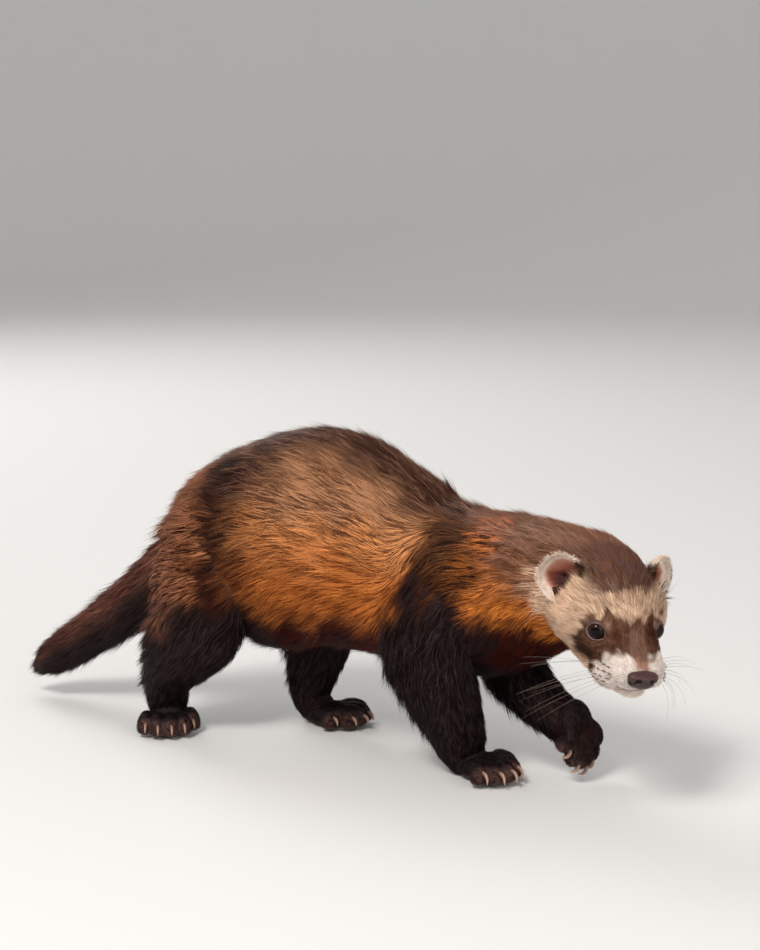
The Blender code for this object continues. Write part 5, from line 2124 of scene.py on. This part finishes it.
@dataclass
class Whiskers:
    """Long stiff hairs from the rows of spots on the muzzle, a few over the eyes, swept back."""

    thick: float = 0.00006
    thin: float = 0.00002
    lengths: tuple = (0.026, 0.036)  # the shortest and the longest
    sunk: float = 0.0006
    in_row: int = 4
    gap: float = 1.8  # between two of a row, in mm
    brow: int = 3  # how many stand over an eye
    brow_scale: float = 0.45
    rows: tuple = ((-7.8, 8.2), (-11.1, 8.0), (-13.8, 9.0))  # height and first place forward, in mm
    dash_gap: float = 2.7
    dash_length: float = 1.9
    dash_sizes: tuple = (0.06, 0.22, 0.26, 0.20, 0.05)  # half widths along a dash, in mm

    def build(self) -> Piece:
        """Makes the whiskers and the dashes at their roots.

        Returns:
            Their object. A whisker is root + L t way + L t² turn, its radius falling from thick to thin.
        """
        rng = np.random.default_rng(SEED + 1)
        shapes = []
        for side in SIDES:
            for height, first in self.rows:
                for number in range(self.in_row):
                    forward = first + self.gap * number
                    way = self._way(forward, height, rng)
                    shapes.append(self._one(self._root(forward, height), way, side, rng))
            for number in range(self.brow):
                root = np.array((-1.5 - 1.5 * number, 8.5 + 1.2 * number, 8.6 - 0.3 * number)) * MM
                way = np.array((0.1, 0.55, 0.75)) + rng.normal(0, 0.08, 3)
                shapes.append(self._one(root, way, side, rng, self.brow_scale, (-0.35, 0.1, 0.0)))
        hairs = sum(len(shape.points) for shape in shapes)
        shapes += [self._dash(*spot, side) for side in SIDES for spot in self._spots()]
        whole = Shape.joined(shapes)
        shade = plain(Palette.WHISKER, len(whole.points))
        shade[hairs:] = Palette.DASH.light
        return dress(mesh_object("whiskers", whole, shade), WHISKER, ["head"])

    def _spots(self) -> list:
        """Front end of each dash of dark hair in the rows on the muzzle.

        Returns:
            For each, forward, height and fall.
        """
        return [
            (forward, height - fall * (last - forward), fall)
            for height, first, last, fall in MUZZLE_ROWS
            for forward in np.arange(last, first, -self.dash_gap)
        ]

    def _dash(self, forward: float, height: float, fall: float, side: int) -> Shape:
        """A short flat lock of dark hair on the muzzle.

        Args:
            forward: place of its front end in mm.
            height: height of that end in mm.
            fall: how much it falls backwards, per mm.
            side: the muzzle's side.

        Returns:
            Its shape: a tube that follows the muzzle.
        """
        back = np.linspace(0, self.dash_length, len(self.dash_sizes))
        path = np.array([self._root(forward - far, height - fall * far, -0.15) for far in back])
        size = np.array(self.dash_sizes)[:, None] * np.ones(3) * MM
        return tube(np.hstack((HEAD.out(path, side), size)), HEAD.axes[2], 8)

    @staticmethod
    def _root(forward: float, height: float, depth: float = 1.0) -> Array:
        """A place on the muzzle's side.

        Args:
            forward: place forward in mm.
            height: height in mm.
            depth: how far it lies under the coat's surface, in mm.

        Returns:
            The place in the head's frame, on the wider of skull and lip pad.
        """
        place, size = np.array(LIP_PAD[0]) / MM, np.array(LIP_PAD[1]) / MM
        flat = 1 - ((forward - place[0]) / size[0]) ** 2 - ((height - place[2]) / size[2]) ** 2
        pad = place[1] + size[1] * math.sqrt(max(flat, 0.05))
        rows = np.array(SKULL) / MM
        middle, wide, low = (np.interp(forward, rows[:, 0], rows[:, column]) for column in (2, 3, 5))
        skull = wide * math.sqrt(max(1 - (min(height - middle, 0) / low) ** 2, 0.0))
        return np.array((forward, max(pad, skull) - depth, height)) * MM

    @staticmethod
    def _way(forward: float, height: float, rng: np.random.Generator) -> Array:
        """The way a whisker leaves the muzzle.

        Args:
            forward: place of its root in mm.
            height: height of its root in mm.
            rng: draws what varies.

        Returns:
            Out, back and down, the front ones more outwards.
        """
        way = np.array((-0.42 + 0.03 * (forward - 9), 0.8, -0.30 + 0.08 * (height + 11)))
        return way + rng.normal(0, 0.06, 3)

    def _one(
        self,
        root: Array,
        way: Array,
        side: int,
        rng: np.random.Generator,
        scale: float = 1.0,
        turn: tuple = (-0.22, -0.10, -0.30),
    ) -> Shape:
        """One whisker of the head's frame, mirrored for side -1.

        Args:
            root: where it starts.
            way: the way it leaves the skin.
            side: the head's side.
            rng: draws its length.
            scale: its length beside the others'.
            turn: how it bends.

        Returns:
            Its shape.
        """
        t = np.linspace(0, 1, 14)[:, None]
        length = scale * rng.uniform(*self.lengths)
        path = root - self.sunk * unit(way) + length * (t * unit(way) + t**2 * np.array(turn))
        size = (self.thick + (self.thin - self.thick) * t) * np.ones(3)
        return tube(np.hstack((HEAD.out(path, side), size)), HEAD.axes[2], 6)


@dataclass
class Studio:
    """A pale round sweep, soft lights and the camera at the photo's viewing angle."""

    # Each light's name, place, width, power and colour
    lights: tuple = (
        ("key", (0.0, -1.15, 1.30), 0.55, 17.0, (1.0, 0.94, 0.86)),
        ("spark", (0.10, -1.15, 1.25), 0.14, 2.6, (1.0, 0.98, 0.96)),
        ("fill", (1.45, -0.75, 0.75), 1.2, 7.0, (1.0, 0.97, 0.94)),
        ("rim", (-1.25, 0.85, 1.15), 0.9, 13.0, (1.0, 0.96, 0.92)),
    )
    aim: tuple = (0.03, 0, 0.06)
    daylight: float = 0.42
    floor_radius: float = 2.2
    curve: float = 1.0
    height: float = 2.4
    camera: tuple = (0.45217, -0.80282, 0.2620)
    azimuth: float = math.radians(28)
    pitch: float = math.radians(9)
    lens: float = 85.0

    def build(self) -> None:
        """Floor, lights, world and camera."""
        self._sweep()
        for light in self.lights:
            self._light(*light)
        world = bpy.data.worlds.new("studio")
        bpy.context.scene.world = world
        world.use_nodes = True
        back = world.node_tree.nodes["Background"]
        back.inputs["Color"].default_value = (1.0, 0.98, 0.96, 1.0)
        back.inputs["Strength"].default_value = self.daylight
        self._camera()
        bpy.context.scene.view_settings.view_transform = "Standard"

    def _sweep(self) -> None:
        """The floor: flat, then a quarter circle up into a wall, turned right round."""
        flat = np.linspace(0.02, self.floor_radius, 10)
        bow = np.linspace(0, math.pi / 2, 16)[1:]
        radius = np.r_[flat, self.floor_radius + self.curve * np.sin(bow), self.floor_radius + self.curve]
        level = np.r_[0 * flat, self.curve * (1 - np.cos(bow)), self.height]
        angle = np.linspace(0, 2 * math.pi, 96, endpoint=False)
        round_it = [radius[:, None] * way for way in (np.cos(angle), np.sin(angle))]
        points = np.stack((*round_it, np.repeat(level[:, None], len(angle), 1)), -1)
        index = np.arange(points.shape[0] * len(angle)).reshape(points.shape[:2])
        beside = np.roll(index, -1, axis=1)
        quads = np.stack((index[:-1], index[1:], beside[1:], beside[:-1]), -1).reshape(-1, 4)
        middle = len(index.ravel())
        tris = np.stack((index[0], beside[0], np.full(len(angle), middle)), -1)
        shape = Shape(np.vstack((points.reshape(-1, 3), np.zeros((1, 3)))), quads, tris)
        floor = mesh_object("floor", shape, plain(Palette.FLOOR, len(shape.points)))
        floor.data.materials.append(Finish("floor paper", 0.9, specular=0.2).material())

    def _light(self, name: str, place: tuple, size: float, power: float, colour: tuple) -> None:
        """Makes a soft square light that looks at the animal.

        Args:
            name: its name.
            place: where it hangs.
            size: its width.
            power: its power in watts.
            colour: its colour.
        """
        data = bpy.data.lights.new(name, "AREA")
        data.size = size
        data.energy = power
        data.color = colour
        lamp = bpy.data.objects.new(name, data)
        lamp.location = place
        lamp.rotation_euler = (Vector(self.aim) - Vector(place)).to_track_quat("-Z", "Y").to_euler()
        bpy.context.scene.collection.objects.link(lamp)

    def _camera(self) -> None:
        """The camera, by its azimuth and pitch."""
        data = bpy.data.cameras.new("camera")
        data.lens = self.lens
        data.sensor_fit = "VERTICAL"
        data.sensor_height = 36.0
        data.clip_start = 0.05
        data.clip_end = 20.0
        view = bpy.data.objects.new("camera", data)
        view.location = self.camera
        view.rotation_euler = (math.pi / 2 - self.pitch, 0.0, self.azimuth)
        bpy.context.scene.collection.objects.link(view)
        bpy.context.scene.camera = view


def main() -> None:
    """Builds every piece of the animal and the studio."""
    anatomy = Anatomy()
    skin = Skin().build(anatomy)
    grounds = []
    for side in SIDES:
        Eye(side).build()
        Lids(side).build()
        grounds.append(Ear.of(side).build())
    Nose().build()
    for foot in FEET:
        Claws(foot).build()
    Whiskers().build()
    pieces = Coat(thin=1.0).build(skin, anatomy, grounds)
    faces = sum(len(piece.data.polygons) for piece in pieces)
    log.info("coat: %d pieces, %d triangles", len(pieces), faces)
    Studio().build()
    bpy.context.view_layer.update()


if __name__ == "__main__":
    main()
